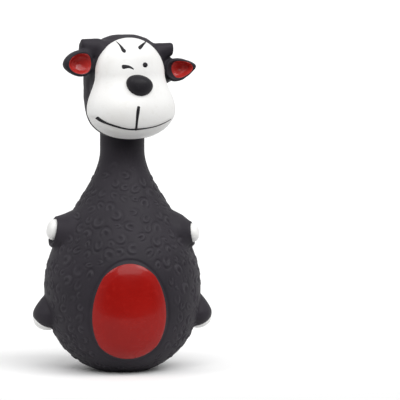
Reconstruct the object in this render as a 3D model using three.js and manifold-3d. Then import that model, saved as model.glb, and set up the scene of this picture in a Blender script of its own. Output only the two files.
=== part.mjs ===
// A squeaky latex dog toy: a pear-shaped hollow figure with a long neck, a white face,
// red ears and belly, stub arms and feet, and a reed squeaker pressed into its base.
// Millimetres, +Z up, the figure faces -Y, origin at the centre of the standing ring.
import * as THREE from "three";
import { mergeVertices } from "three/addons/utils/BufferGeometryUtils.js";
import Module from "manifold-3d";

const wasm = await Module();
wasm.setup();

// Clearances and wall
const SEAT_GAP = 0.3; // between pieces that seat on each other
const FLEX_GAP = 0.7; // at an ear's root, so that the ear can swing
const SKIN = 2.0; // latex wall

// Squeaker, from the outside in
const SQUEAKER_RADIUS = 10; // flange and body
const SQUEAKER_RECESS = 1.6; // dished base that hides the flange
const FLANGE_THICKNESS = 1.0;
const GROOVE_DEPTH = 1.6; // where the base's lip grips
const CHAMBER_HEIGHT = 8.4; // inside, above the floor
const HOUSING_WALL = 1.2;
const HOUSING_FLOOR = 1.0; // floor above the grip
const AIR_HOLE_RADIUS = 1.6;
const CAP_THICKNESS = 1.4;
const CAP_SPIGOT = 1.2; // length of the ring that centres the cap
const CAP_HOLES = 4;
const CAP_HOLE_RADIUS = 1.1;
const CAP_HOLE_CIRCLE = 4.6;
const BLOCK_RADIUS = 3; // half-round reed block
const BLOCK_LENGTH = 6.4;
const CHANNEL_WIDTH = 2.2;
const CHANNEL_DEPTH = 1.5;
const CHANNEL_END_WALL = 0.9;
const REED_THICKNESS = 0.4;
const REED_WIDTH = 3.4;
const REED_LENGTH = 5.8;
const REED_OPEN_ANGLE = 5; // degrees that the reed stands off its block at rest
const WEDGE_THICKNESS = 1.4;
const WEDGE_LENGTH = 1.6;

// Trunk and neck, one pear-shaped bottle of revolution
const STANDING_RING = 4.2; // width of the ring that it stands on
const BASE_FLARE_OUT = 11; // curve handle leaving the standing ring
const BASE_FLARE_RISE = 7.2;
const BELLY_RADIUS = 35.2; // widest part of the trunk
const BELLY_HEIGHT = 37.5;
const BELLY_HANDLE_BELOW = 19.8; // curve handles at the widest part
const BELLY_HANDLE_ABOVE = 26.7;
const NECK_RADIUS = 10;
const NECK_HEIGHT = 99; // where the shoulder's curve ends, and the head's own heights start
const NECK_HANDLE = 15.5;
const NECK_INSET = 20; // the neck tube reaches this far into the head

// Neck bends: each is a spherical cut through the wall, around its pivot
const SWAY_RIM_DROP = 10.3; // from the neck's top down to the bend's rim
const SWAY_PIVOT_DROP = 14.5; // from that rim down to the pivot
const SWAY_SKIRT = 2.5; // the cut starts this far under that rim, where the wall lies inside the sphere
const NOD_PIVOT_DROP = 5.2; // from the neck's top, this bend's rim, down to the pivot

// Belly patch, an oval seen from the front
const PATCH_HALF_WIDTH = 16.9;
const PATCH_HALF_HEIGHT = 20.6;
const PATCH_HEIGHT = 30.4; // its centre

// Arms and white hands
const ARM_HEIGHT = 62;
const ARM_LENGTH = 3.4; // from the trunk's wall to the cuff
const ARM_CUFF_RADIUS = 6.4;
const ARM_ROOT_RADIUS = 9.6;
const ARM_ROOT_DEPTH = 8; // the arm's cone starts this far inside the wall
const ARM_FORWARD_ANGLE = 8; // degrees towards the front
const CUFF_RIM = 1.4; // black rim around a hand
const HAND_LENGTH = 3.6;

// Feet and white soles
const FOOT_HEIGHT = 27.2;
const FOOT_SINK = 1.4; // the foot's centre lies this far inside the wall
const FOOT_HALF_LENGTH = 6.9; // outwards
const FOOT_HALF_WIDTH = 8.4;
const FOOT_HALF_HEIGHT = 7.6;
const SOLE_DROP = 3.6; // from the foot's centre to the sole pad's centre
const SOLE_ANGLE = 40; // degrees outwards from straight down
const SOLE_INSET = 1.2; // the pad is this much smaller than the foot

// Wool: curls pressed into the trunk, spread over it along a spiral
const WOOL_SPACING = 7.6; // from one curl to the next
const WOOL_SCATTER = 0.14; // how far a curl strays from the spiral, over the spacing
const WOOL_FOOT = 7; // lowest curl
const WOOL_COLLAR = 5; // from the sway bend's cut down to the highest curl
const CURL_DEPTH = 0.45; // below the wall, in its middle
const CURL_OUTSIDE = 0.4; // from the wall out to where the form that presses it is widest
const CURL_HALF_LENGTH = 3.8; // at the widest, so that about half of it shows on the wall
const CURL_HALF_WIDTH = 3.2;
const CURL_CLEAR = 4; // from a curl's centre to the belly patch, the arms and the feet

// Head: heights above the neck's top, depths in front of the neck's axis
const HEAD_TURN = 9; // degrees, to the figure's left
const HOOD_FORWARD = 4.5;
const HOOD_HEIGHT = 29;
const HOOD_HALF_WIDTH = 19.3;
const HOOD_HALF_DEPTH = 17.5;
const HOOD_HALF_HEIGHT = 23.2;
const FACE_FORWARD = 14.3; // plane of the white face's outline
const FACE_TOP = 51.6;
const BROW_HEIGHT = 38;
const BROW_HALF_WIDTH = 16.9;
const MUZZLE_HEIGHT = 19.5;
const MUZZLE_HALF_WIDTH = 20.5;
const CHIN_HEIGHT = 6;
const FACE_DEPTH = 11.8; // how far the muzzle bulges out of the outline's plane
const CROWN_HANDLE = 9.5; // curve handles of the face's outline
const BROW_HANDLE = 6.5;
const MUZZLE_HANDLE = 7;
const CHIN_HANDLE = 13.5;

// Horn stubs
const HORN_FORWARD = 10;
const HORN_HEIGHT = 47.6;
const HORN_END = 22; // from the middle plane to the horn's blunt end
const HORN_LENGTH = 14; // from that end to the root inside the hood
const HORN_END_RADIUS = 2.3;
const HORN_ROOT_RADIUS = 3.6;

// Nose
const NOSE_DROP = 8.7; // from the eyes down to its centre
const NOSE_HALF_WIDTH = 5.7;
const NOSE_HALF_HEIGHT = 4.9;
const NOSE_HALF_DEPTH = 4.4;

// Ears, cupped towards the front
const EAR_OUT = 24; // from the middle plane to the ear's centre
const EAR_FORWARD = 10.5;
const EAR_HEIGHT = 38.6;
const EAR_HALF_LENGTH = 7.2;
const EAR_HALF_DEPTH = 4.2;
const EAR_HALF_HEIGHT = 6.4;
const EAR_RIM = 1.9; // black rim around the red lining
const EAR_CUP_DEPTH = 3.4;
const EAR_CUP_SHIFT = 0.8; // the cup sits this much nearer the tip
const EAR_FORWARD_ANGLE = 14; // degrees that the ear's tip leans to the front
const LINING_THICKNESS = 0.9;

// Painted beads on the face
const PAINT_BEAD_RADIUS = 0.45;
const EYE_RADIUS = 1.1;
const EYE_RISE = 0.9;
const EYE_DROP = 6.3; // from the brow strokes down to the eyes
const EYE_OUT = 4.6;
const WINK_HALF_LENGTH = 2.4;
const BROW_STROKE_OUT = 5; // middle of a brow stroke from the middle plane
const BROW_STROKE_DROP = 5; // from the face's top down to the middle of a brow stroke
const BROW_STROKE_HALF_WIDTH = 1.9;
const BROW_STROKE_HALF_RISE = 1.6;
const MOUTH_HEIGHT = 11.6; // lowest point of the smile
const MOUTH_HALF_WIDTH = 16.2;
const MOUTH_RISE = 5; // the smile's ends above its middle
const LIP_LINE_GAP = 1.8; // from the smile to the upright stroke above it
const LIP_LINE_NOSE_GAP = 5.1; // from that stroke to the nose

// Mesh fineness
const ROUND_STEPS = 36; // around the trunk and the neck
const HEAD_STEPS = 30;
const SMALL_STEPS = 16;
const CURVE_STEPS = 7; // along each stretch of an outline
const CURL_SIDES = 5; // around a curl
const BEAD_SIDES = 6;
const BEAD_STEPS = 10;
const FAR = 400; // larger than the toy, for cutting boxes

// Steps of an even scatter: the golden angle, and others that don't fall into rows
const GOLDEN_ANGLE = Math.PI * (3 - Math.sqrt(5));
const SCATTER_UP = Math.sqrt(2);
const SCATTER_ROUND = Math.sqrt(3);
const SCATTER_TURN = Math.sqrt(7);

// Sizes that follow from the ones above
const RECESS_RADIUS = SQUEAKER_RADIUS + SEAT_GAP;
const BASE_RADIUS = RECESS_RADIUS + STANDING_RING;
const BASE_FLOOR = SQUEAKER_RECESS + SKIN; // inside of the base
const GROOVE_RADIUS = SQUEAKER_RADIUS - GROOVE_DEPTH;
const CHAMBER_FLOOR = BASE_FLOOR + SEAT_GAP + HOUSING_FLOOR;
const HOUSING_TOP = CHAMBER_FLOOR + CHAMBER_HEIGHT;
const CHAMBER_RADIUS = SQUEAKER_RADIUS - HOUSING_WALL;
const SWAY_RIM_HEIGHT = NECK_HEIGHT - SWAY_RIM_DROP;
const BROW_STROKE_HEIGHT = FACE_TOP - BROW_STROKE_DROP;
const EYE_HEIGHT = BROW_STROKE_HEIGHT - EYE_DROP;
const NOSE_HEIGHT = EYE_HEIGHT - NOSE_DROP;
const FLATTENING = FACE_DEPTH / MUZZLE_HALF_WIDTH; // the face's depth over its width

function paint(color, roughness) {
  return new THREE.MeshStandardMaterial({ color, roughness, metalness: 0 });
}

const LATEX_BLACK = paint(0x3a383d, 0.62);
const LATEX_WHITE = paint(0xf1f0ec, 0.38);
const LATEX_RED = paint(0x9c1b16, 0.34);
const GLOSS_BLACK = paint(0x19181b, 0.36);
const SQUEAKER_PLASTIC = paint(0xe6e2d6, 0.45);
const REED_FILM = paint(0xc9d3d6, 0.25);

const radians = THREE.MathUtils.degToRad;

/** A closed geometry as a solid that can be joined and cut. */
function solid(geometry) {
  const bare = geometry.clone();
  bare.deleteAttribute("normal");
  bare.deleteAttribute("uv");
  const merged = mergeVertices(bare);
  return new wasm.Manifold(
    new wasm.Mesh({
      numProp: 3,
      vertProperties: new Float32Array(merged.attributes.position.array),
      triVerts: new Uint32Array(merged.index.array),
    }),
  );
}

/** A named mesh of a solid. */
function piece(name, shape, material) {
  const made = shape.getMesh();
  const geometry = new THREE.BufferGeometry();
  geometry.setAttribute("position", new THREE.BufferAttribute(made.vertProperties, made.numProp));
  geometry.setIndex(new THREE.BufferAttribute(made.triVerts, 1));
  geometry.computeVertexNormals();
  const mesh = new THREE.Mesh(geometry, material);
  mesh.name = name;
  return mesh;
}

/** A shape of revolution about Z, from [radius, height] points listed from bottom to top. */
function turned(points, steps) {
  const outline = points.map(([radius, height]) => new THREE.Vector2(radius, height));
  return new THREE.LatheGeometry(outline, steps).rotateX(Math.PI / 2);
}

/** An ellipsoid with its poles on Z. */
function ellipsoid(halfX, halfY, halfZ, steps) {
  const ball = new THREE.SphereGeometry(1, steps, steps / 2);
  return ball.rotateX(Math.PI / 2).scale(halfX, halfY, halfZ);
}

function box(sizeX, sizeY, sizeZ) {
  return new THREE.BoxGeometry(sizeX, sizeY, sizeZ);
}

/** A dome on a flat foot at z = 0, rising along +Z. */
function dome(radius, rise) {
  const arc = [[0, 0], [radius, 0]];
  for (let i = 1; i < CURVE_STEPS; i++) {
    const angle = (i / CURVE_STEPS) * (Math.PI / 2);
    arc.push([radius * Math.cos(angle), rise * Math.sin(angle)]);
  }
  return turned([...arc, [0, rise]], SMALL_STEPS);
}

/** An outline that runs upwards, as [radius, height] points moved outwards by a distance. */
function movedOutline(path, distance) {
  const points = path.getPoints(CURVE_STEPS);
  return points.map((point, i) => {
    const before = points[Math.max(i - 1, 0)];
    const after = points[Math.min(i + 1, points.length - 1)];
    const along = new THREE.Vector2().subVectors(after, before).normalize();
    return [point.x + along.y * distance, point.y - along.x * distance];
  });
}

/** The outer value of an upright outline at a height. */
function outlineAt(path, height) {
  const points = path.getPoints(CURVE_STEPS);
  const next = points.findIndex((point) => point.y > height);
  const [low, high] = [points[next - 1], points[next]];
  return THREE.MathUtils.mapLinear(height, low.y, high.y, low.x, high.x);
}

/** The wall of trunk and neck, from the standing ring up to the neck's end inside the head. */
function bottleWall() {
  const path = new THREE.Path();
  path.moveTo(BASE_RADIUS, 0);
  path.bezierCurveTo(
    BASE_RADIUS + BASE_FLARE_OUT, BASE_FLARE_RISE,
    BELLY_RADIUS, BELLY_HEIGHT - BELLY_HANDLE_BELOW,
    BELLY_RADIUS, BELLY_HEIGHT,
  );
  path.bezierCurveTo(
    BELLY_RADIUS, BELLY_HEIGHT + BELLY_HANDLE_ABOVE,
    NECK_RADIUS, NECK_HEIGHT - NECK_HANDLE,
    NECK_RADIUS, NECK_HEIGHT,
  );
  path.lineTo(NECK_RADIUS, NECK_HEIGHT + NECK_INSET);
  return path;
}

/** The bottle's form with its wall moved outwards by a distance, from a floor up. */
function bottle(distance, floor) {
  const wall = movedOutline(bottleWall(), distance).filter(([, height]) => height > floor + SEAT_GAP);
  const foot = floor === 0 ? BASE_RADIUS + distance : wall[0][0] - SKIN;
  const top = NECK_HEIGHT + NECK_INSET;
  return solid(turned([[0, floor], [foot, floor], ...wall, [0, top]], ROUND_STEPS));
}

/** Everything above a start height that lies outside a sphere: the far side of a neck bend. */
function beyondBend(start, pivot, radius) {
  const above = solid(box(FAR, FAR, FAR).translate(0, 0, start + FAR / 2));
  return above.subtract(solid(ellipsoid(radius, radius, radius, ROUND_STEPS).translate(0, 0, pivot)));
}

/** The far side of the sway bend, low on the neck, held off it by a gap. */
function beyondSway(gap) {
  const rimRadius = outlineAt(bottleWall(), SWAY_RIM_HEIGHT);
  const radius = Math.hypot(rimRadius, SWAY_PIVOT_DROP) - gap;
  return beyondBend(SWAY_RIM_HEIGHT - SWAY_SKIRT, SWAY_RIM_HEIGHT - SWAY_PIVOT_DROP, radius);
}

/** The far side of the nod bend, at the neck's top, held off it by a gap. */
function beyondNod(neckTop, gap) {
  const pivot = neckTop - NOD_PIVOT_DROP;
  return beyondBend(pivot, pivot, Math.hypot(NECK_RADIUS, NOD_PIVOT_DROP) - gap);
}

const bottleShell = bottle(0, 0).subtract(bottle(-SKIN, BASE_FLOOR));

/** The oval column that cuts the belly patch out of the trunk's front wall. */
function bellyColumn(clearance) {
  const length = BELLY_RADIUS + SKIN;
  const column = new THREE.CylinderGeometry(1, 1, length, ROUND_STEPS);
  column.scale(PATCH_HALF_WIDTH + clearance, 1, PATCH_HALF_HEIGHT + clearance);
  return solid(column.translate(0, -length / 2, PATCH_HEIGHT));
}

/** Puts a form that rises along +Z at the left (side = 1) or right (side = -1) arm's root. */
function placeOnArm(geometry, side) {
  geometry.rotateY((side * Math.PI) / 2).rotateZ(radians(-side * ARM_FORWARD_ANGLE));
  return solid(geometry.translate(0, 0, ARM_HEIGHT));
}

function armCone(side) {
  const wall = outlineAt(bottleWall(), ARM_HEIGHT);
  const [root, cuff] = [wall - ARM_ROOT_DEPTH, wall + ARM_LENGTH];
  const profile = [[0, root], [ARM_ROOT_RADIUS, root], [ARM_CUFF_RADIUS, cuff], [0, cuff]];
  return placeOnArm(turned(profile, SMALL_STEPS), side);
}

function hand(side) {
  const seat = outlineAt(bottleWall(), ARM_HEIGHT) + ARM_LENGTH + SEAT_GAP;
  return placeOnArm(dome(ARM_CUFF_RADIUS - CUFF_RIM, HAND_LENGTH).translate(0, 0, seat), side);
}

/** A foot's rounded form, its surface moved outwards by a distance. */
function footMound(distance) {
  return ellipsoid(
    FOOT_HALF_LENGTH + distance, FOOT_HALF_WIDTH + distance, FOOT_HALF_HEIGHT + distance, SMALL_STEPS,
  );
}

/** Puts a foot's form on the trunk's wall. */
function placeOnFoot(geometry, side) {
  const out = outlineAt(bottleWall(), FOOT_HEIGHT) - FOOT_SINK;
  return solid(geometry.translate(side * out, 0, FOOT_HEIGHT));
}

/** A white sole pad on the lower outer side of a foot. */
function sole(side) {
  const angle = radians(SOLE_ANGLE);
  const pad = footMound(-SOLE_INSET);
  pad.translate(side * SOLE_DROP * Math.sin(angle), 0, -SOLE_DROP * Math.cos(angle));
  return placeOnFoot(pad, side)
    .subtract(placeOnFoot(footMound(SEAT_GAP), side))
    .subtract(bottle(SEAT_GAP, 0));
}

/** A number from 0 to 1 that jumps about evenly as the index goes up. */
function scattered(index, step) {
  return (index * step) % 1;
}

/** Heights on the bottle's wall that give each curl the same share of its area, from the foot up. */
function curlHeights() {
  const share = WOOL_SPACING ** 2 * Math.sin(Math.PI / 3);
  const points = bottleWall().getPoints(CURVE_STEPS);
  const heights = [];
  let area = 0;
  for (let i = 1; i < points.length; i++) {
    const [low, high] = [points[i - 1], points[i]];
    const strip = Math.PI * (low.x + high.x) * low.distanceTo(high);
    while (heights.length * share < area + strip) {
      heights.push(THREE.MathUtils.mapLinear(heights.length * share, area, area + strip, low.y, high.y));
    }
    area += strip;
  }
  return heights;
}

/** Whether a curl at a point of the wall stays clear of the belly patch, the arms and the feet. */
function clearOfLimbs(point) {
  const oval = Math.hypot(
    point.x / (PATCH_HALF_WIDTH + CURL_CLEAR), (point.z - PATCH_HEIGHT) / (PATCH_HALF_HEIGHT + CURL_CLEAR),
  );
  const fromArm = Math.hypot(point.y, point.z - ARM_HEIGHT);
  const fromFoot = Math.hypot(point.y, point.z - FOOT_HEIGHT + SOLE_DROP / 2);
  return (point.y > 0 || oval > 1)
    && fromArm > ARM_ROOT_RADIUS + CURL_CLEAR
    && fromFoot > FOOT_HALF_WIDTH + CURL_CLEAR;
}

/** The forms that press the wool's curls into the wall, each turned its own way. */
function curlForms() {
  const wall = bottleWall();
  const top = SWAY_RIM_HEIGHT - SWAY_SKIRT - WOOL_COLLAR;
  const stray = WOOL_SCATTER * WOOL_SPACING;
  const forms = [];
  curlHeights().forEach((even, index) => {
    const height = even + stray * (2 * scattered(index, SCATTER_UP) - 1);
    if (height < WOOL_FOOT || height > top) return;
    const radius = outlineAt(wall, height);
    const angle = index * GOLDEN_ANGLE + (stray / radius) * (2 * scattered(index, SCATTER_ROUND) - 1);
    const point = new THREE.Vector3(radius * Math.cos(angle), radius * Math.sin(angle), height);
    if (!clearOfLimbs(point)) return;
    const lean = Math.atan2(outlineAt(wall, height + SKIN) - outlineAt(wall, height - SKIN), 2 * SKIN);
    const form = new THREE.SphereGeometry(1, CURL_SIDES, 2).rotateX(Math.PI / 2);
    form.scale(CURL_HALF_LENGTH, CURL_HALF_WIDTH, CURL_DEPTH + CURL_OUTSIDE).translate(0, 0, CURL_OUTSIDE);
    form.rotateZ(2 * Math.PI * scattered(index, SCATTER_TURN)).rotateY(Math.PI / 2 + lean);
    forms.push(solid(form.translate(radius, 0, height).rotateZ(angle)));
  });
  return forms;
}

/** The hole in the base whose lip grips the squeaker's groove. */
function squeakerSeat() {
  const lip = GROOVE_RADIUS + SEAT_GAP;
  const top = BASE_FLOOR + SKIN;
  return solid(
    turned(
      [
        [0, -SKIN],
        [RECESS_RADIUS, -SKIN],
        [RECESS_RADIUS, SQUEAKER_RECESS],
        [lip, SQUEAKER_RECESS],
        [lip, top],
        [0, top],
      ],
      ROUND_STEPS,
    ),
  );
}

function makeTrunk() {
  const group = new THREE.Group();
  let outer = bottle(0, 0);
  for (const side of [1, -1]) {
    outer = outer.add(armCone(side)).add(placeOnFoot(footMound(0), side));
  }
  for (const form of curlForms()) outer = outer.subtract(form);
  const trunk = outer
    .subtract(bottle(-SKIN, BASE_FLOOR))
    .subtract(squeakerSeat())
    .subtract(beyondSway(SEAT_GAP))
    .subtract(bellyColumn(SEAT_GAP));
  group.add(piece("trunk_skin", trunk, LATEX_BLACK));
  group.add(piece("belly_patch", bottleShell.intersect(bellyColumn(0)), LATEX_RED));
  for (const [label, side] of [["left", 1], ["right", -1]]) {
    group.add(piece(`${label}_hand`, hand(side), LATEX_WHITE));
    group.add(piece(`${label}_sole`, sole(side), LATEX_WHITE));
  }
  return group;
}

function makeNeck() {
  const neck = bottleShell.intersect(beyondSway(0)).subtract(beyondNod(NECK_HEIGHT, SEAT_GAP));
  return piece("neck_skin", neck, LATEX_BLACK);
}

/** The face's outline in half width and height, from the chin up. */
function faceOutline() {
  const path = new THREE.Path();
  path.moveTo(0, CHIN_HEIGHT);
  path.bezierCurveTo(
    CHIN_HANDLE, CHIN_HEIGHT,
    MUZZLE_HALF_WIDTH, MUZZLE_HEIGHT - MUZZLE_HANDLE,
    MUZZLE_HALF_WIDTH, MUZZLE_HEIGHT,
  );
  path.bezierCurveTo(
    MUZZLE_HALF_WIDTH, MUZZLE_HEIGHT + MUZZLE_HANDLE,
    BROW_HALF_WIDTH, BROW_HEIGHT - BROW_HANDLE,
    BROW_HALF_WIDTH, BROW_HEIGHT,
  );
  path.bezierCurveTo(
    BROW_HALF_WIDTH, BROW_HEIGHT + BROW_HANDLE,
    CROWN_HANDLE, FACE_TOP,
    0, FACE_TOP,
  );
  return path;
}

/** The face's whole form, flattened front to back, its surface moved outwards by a distance. */
function faceForm(distance) {
  const outline = movedOutline(faceOutline(), distance);
  outline[0][0] = 0;
  outline[outline.length - 1][0] = 0;
  const flattening = (FACE_DEPTH + distance) / (MUZZLE_HALF_WIDTH + distance);
  return solid(turned(outline, HEAD_STEPS).scale(1, flattening, 1).translate(0, -FACE_FORWARD, 0));
}

/** The round back of the head, its surface moved outwards by a distance. */
function hoodForm(distance) {
  const form = ellipsoid(
    HOOD_HALF_WIDTH + distance, HOOD_HALF_DEPTH + distance, HOOD_HALF_HEIGHT + distance, HEAD_STEPS,
  );
  return solid(form.translate(0, -HOOD_FORWARD, HOOD_HEIGHT));
}

/** A blunt horn beside the crown, its surface moved outwards by a distance. */
function hornStub(side, distance) {
  const root = HORN_END - HORN_LENGTH;
  const end = HORN_END + distance;
  const [rootRadius, endRadius] = [HORN_ROOT_RADIUS + distance, HORN_END_RADIUS + distance];
  const profile = [[0, root], [rootRadius, root], [endRadius, end], [0, end]];
  const stub = turned(profile, SMALL_STEPS).rotateY((side * Math.PI) / 2);
  return solid(stub.translate(0, -HORN_FORWARD, HORN_HEIGHT));
}

/** A point on the face's front, lifted off it by a distance. */
function onFace(across, height, lift) {
  const front = (x, z) => -FACE_FORWARD - FLATTENING * Math.sqrt(outlineAt(faceOutline(), z) ** 2 - x ** 2);
  const probe = SKIN / 4;
  const slopeAcross = (front(across + probe, height) - front(across - probe, height)) / (2 * probe);
  const slopeUp = (front(across, height + probe) - front(across, height - probe)) / (2 * probe);
  const outwards = new THREE.Vector3(slopeAcross, -1, slopeUp).normalize();
  return new THREE.Vector3(across, front(across, height), height).addScaledVector(outwards, lift);
}

/** A bead of paint along points given as [across, height] on the face. */
function paintBead(points) {
  const lift = PAINT_BEAD_RADIUS + SEAT_GAP;
  const line = new THREE.CatmullRomCurve3(points.map(([across, height]) => onFace(across, height, lift)));
  const circle = new THREE.Shape().absarc(0, 0, PAINT_BEAD_RADIUS, 0, 2 * Math.PI);
  const section = new THREE.Shape(circle.getSpacedPoints(BEAD_SIDES).slice(0, BEAD_SIDES));
  return solid(new THREE.ExtrudeGeometry(section, { steps: BEAD_STEPS, extrudePath: line }));
}

/** A small round form set on the face and cut to it. */
function seatedOnFace(form, across, height) {
  const place = onFace(across, height, 0);
  return solid(form.translate(place.x, place.y, place.z)).subtract(faceForm(SEAT_GAP));
}

function makeFacePaint() {
  const smile = [];
  for (let i = -BEAD_STEPS / 2; i <= BEAD_STEPS / 2; i++) {
    const share = i / (BEAD_STEPS / 2);
    smile.push([MOUTH_HALF_WIDTH * share, MOUTH_HEIGHT + MOUTH_RISE * share ** 2]);
  }
  const lipFoot = MOUTH_HEIGHT + LIP_LINE_GAP;
  const lipTop = NOSE_HEIGHT - NOSE_HALF_HEIGHT - LIP_LINE_NOSE_GAP;
  const lipLine = [[0, lipFoot], [0, (lipFoot + lipTop) / 2], [0, lipTop]];
  const wink = [
    [-EYE_OUT - WINK_HALF_LENGTH, EYE_HEIGHT],
    [-EYE_OUT, EYE_HEIGHT + PAINT_BEAD_RADIUS],
    [-EYE_OUT + WINK_HALF_LENGTH, EYE_HEIGHT - PAINT_BEAD_RADIUS],
  ];
  const brow = (side) => [1, 0, -1].map((step) => [
    side * (BROW_STROKE_OUT + step * BROW_STROKE_HALF_WIDTH),
    BROW_STROKE_HEIGHT + step * BROW_STROKE_HALF_RISE,
  ]);
  const spot = ellipsoid(EYE_RADIUS, EYE_RISE, EYE_RADIUS, SMALL_STEPS);
  return [
    piece("mouth_line", paintBead(smile), GLOSS_BLACK),
    piece("lip_line", paintBead(lipLine), GLOSS_BLACK),
    piece("right_eye_wink", paintBead(wink), GLOSS_BLACK),
    piece("left_eye", seatedOnFace(spot, EYE_OUT, EYE_HEIGHT), GLOSS_BLACK),
    piece("left_brow", paintBead(brow(1)), GLOSS_BLACK),
    piece("right_brow", paintBead(brow(-1)), GLOSS_BLACK),
  ];
}

/** Puts an ear's form, with its length along X and its front at -Y, beside the head. */
function placeOnEar(geometry, side) {
  geometry.rotateZ(radians(-side * EAR_FORWARD_ANGLE));
  return solid(geometry.translate(side * EAR_OUT, -EAR_FORWARD, EAR_HEIGHT));
}

/** The hollow in an ear's front, grown by a distance and moved to the front by another. */
function earCup(side, grow, raise) {
  const cup = ellipsoid(
    EAR_HALF_LENGTH - EAR_RIM + grow, EAR_CUP_DEPTH + grow, EAR_HALF_HEIGHT - EAR_RIM + grow, SMALL_STEPS,
  );
  return placeOnEar(cup.translate(side * EAR_CUP_SHIFT, -EAR_HALF_DEPTH - raise, 0), side);
}

function makeEar(label, side) {
  const form = ellipsoid(EAR_HALF_LENGTH, EAR_HALF_DEPTH, EAR_HALF_HEIGHT, SMALL_STEPS);
  const ear = placeOnEar(form, side)
    .subtract(hoodForm(FLEX_GAP))
    .subtract(faceForm(FLEX_GAP))
    .subtract(hornStub(side, FLEX_GAP));
  const lining = ear
    .intersect(earCup(side, -SEAT_GAP, 0))
    .subtract(earCup(side, -SEAT_GAP, LINING_THICKNESS));
  return [
    piece(`${label}_ear`, ear.subtract(earCup(side, 0, 0)), LATEX_BLACK),
    piece(`${label}_ear_lining`, lining, LATEX_RED),
  ];
}

/** The neck's tube inside the head, its wall moved outwards by a distance. */
function neckInHead(distance) {
  const radius = NECK_RADIUS + distance;
  const tube = new THREE.CylinderGeometry(radius, radius, 2 * NECK_INSET, ROUND_STEPS);
  return solid(tube.rotateX(Math.PI / 2));
}

function makeHead() {
  const group = new THREE.Group();
  const outer = hoodForm(0).add(faceForm(0)).add(hornStub(1, 0)).add(hornStub(-1, 0)).add(neckInHead(0));
  const hollow = hoodForm(-SKIN).add(faceForm(-SKIN)).add(neckInHead(-SKIN));
  const shell = outer.subtract(hollow).intersect(beyondNod(0, 0));
  const inFrontOf = (depth) => solid(box(FAR, FAR, FAR).translate(0, -depth - FAR / 2, 0));
  group.add(piece("head_skin", shell.subtract(inFrontOf(FACE_FORWARD - SEAT_GAP)), LATEX_BLACK));
  group.add(piece("face_mask", shell.intersect(inFrontOf(FACE_FORWARD)), LATEX_WHITE));
  const noseBall = ellipsoid(NOSE_HALF_WIDTH, NOSE_HALF_DEPTH, NOSE_HALF_HEIGHT, SMALL_STEPS);
  group.add(piece("nose", seatedOnFace(noseBall, 0, NOSE_HEIGHT), GLOSS_BLACK));
  group.add(...makeFacePaint(), ...makeEar("left", 1), ...makeEar("right", -1));
  group.position.z = NECK_HEIGHT;
  group.rotation.z = radians(HEAD_TURN);
  return group;
}

function makeSqueakerHousing() {
  const flangeTop = SQUEAKER_RECESS - SEAT_GAP;
  const flangeFoot = flangeTop - FLANGE_THICKNESS;
  const grip = BASE_FLOOR + SEAT_GAP;
  const profile = [
    [AIR_HOLE_RADIUS, flangeFoot],
    [SQUEAKER_RADIUS, flangeFoot],
    [SQUEAKER_RADIUS, flangeTop],
    [GROOVE_RADIUS, flangeTop],
    [GROOVE_RADIUS, grip],
    [SQUEAKER_RADIUS, grip],
    [SQUEAKER_RADIUS, HOUSING_TOP],
    [CHAMBER_RADIUS, HOUSING_TOP],
    [CHAMBER_RADIUS, CHAMBER_FLOOR],
    [AIR_HOLE_RADIUS, CHAMBER_FLOOR],
    [AIR_HOLE_RADIUS, flangeFoot],
  ];
  return piece("squeaker_housing", solid(turned(profile, SMALL_STEPS)), SQUEAKER_PLASTIC);
}

function makeSqueakerCap() {
  const seat = HOUSING_TOP + SEAT_GAP;
  const spigotOuter = CHAMBER_RADIUS - SEAT_GAP;
  const spigotInner = spigotOuter - HOUSING_WALL;
  const profile = [
    [0, seat],
    [spigotInner, seat],
    [spigotInner, seat - CAP_SPIGOT],
    [spigotOuter, seat - CAP_SPIGOT],
    [spigotOuter, seat],
    [SQUEAKER_RADIUS, seat],
    [SQUEAKER_RADIUS, seat + CAP_THICKNESS],
    [0, seat + CAP_THICKNESS],
  ];
  let cap = solid(turned(profile, SMALL_STEPS));
  for (let i = 0; i < CAP_HOLES; i++) {
    const angle = (i / CAP_HOLES) * 2 * Math.PI;
    const hole = new THREE.CylinderGeometry(CAP_HOLE_RADIUS, CAP_HOLE_RADIUS, FAR, SMALL_STEPS / 2);
    hole.rotateX(Math.PI / 2);
    hole.translate(CAP_HOLE_CIRCLE * Math.cos(angle), CAP_HOLE_CIRCLE * Math.sin(angle), 0);
    cap = cap.subtract(solid(hole));
  }
  return piece("squeaker_cap", cap, SQUEAKER_PLASTIC);
}

/** The half-round block on the chamber's floor, with the air channel that the reed covers. */
function makeReedBlock(foot) {
  const halfRound = new THREE.Shape().absarc(0, 0, BLOCK_RADIUS, Math.PI / 2, 1.5 * Math.PI);
  const bar = new THREE.ExtrudeGeometry(halfRound, { depth: BLOCK_LENGTH, bevelEnabled: false });
  const channel = box(2 * CHANNEL_DEPTH, CHANNEL_WIDTH, 2 * (BLOCK_LENGTH - CHANNEL_END_WALL));
  const block = solid(bar.translate(0, 0, foot)).subtract(solid(channel.translate(0, 0, foot)));
  return piece("reed_block", block, SQUEAKER_PLASTIC);
}

/** The reed, leaning off its block, and the wedge that pinches its foot. */
function makeReed(foot) {
  const lean = radians(REED_OPEN_ANGLE);
  const reed = box(REED_THICKNESS, REED_WIDTH, REED_LENGTH);
  reed.translate(REED_THICKNESS / 2, 0, REED_LENGTH / 2).rotateY(lean);
  reed.translate(SEAT_GAP, 0, foot + SEAT_GAP);
  const reedBack = SEAT_GAP + REED_THICKNESS / Math.cos(lean) + WEDGE_LENGTH * Math.tan(lean);
  const wedge = box(WEDGE_THICKNESS, REED_WIDTH, WEDGE_LENGTH);
  wedge.translate(reedBack + SEAT_GAP + WEDGE_THICKNESS / 2, 0, foot + WEDGE_LENGTH / 2);
  return [
    piece("reed", solid(reed), REED_FILM),
    piece("reed_wedge", solid(wedge), SQUEAKER_PLASTIC),
  ];
}

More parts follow.
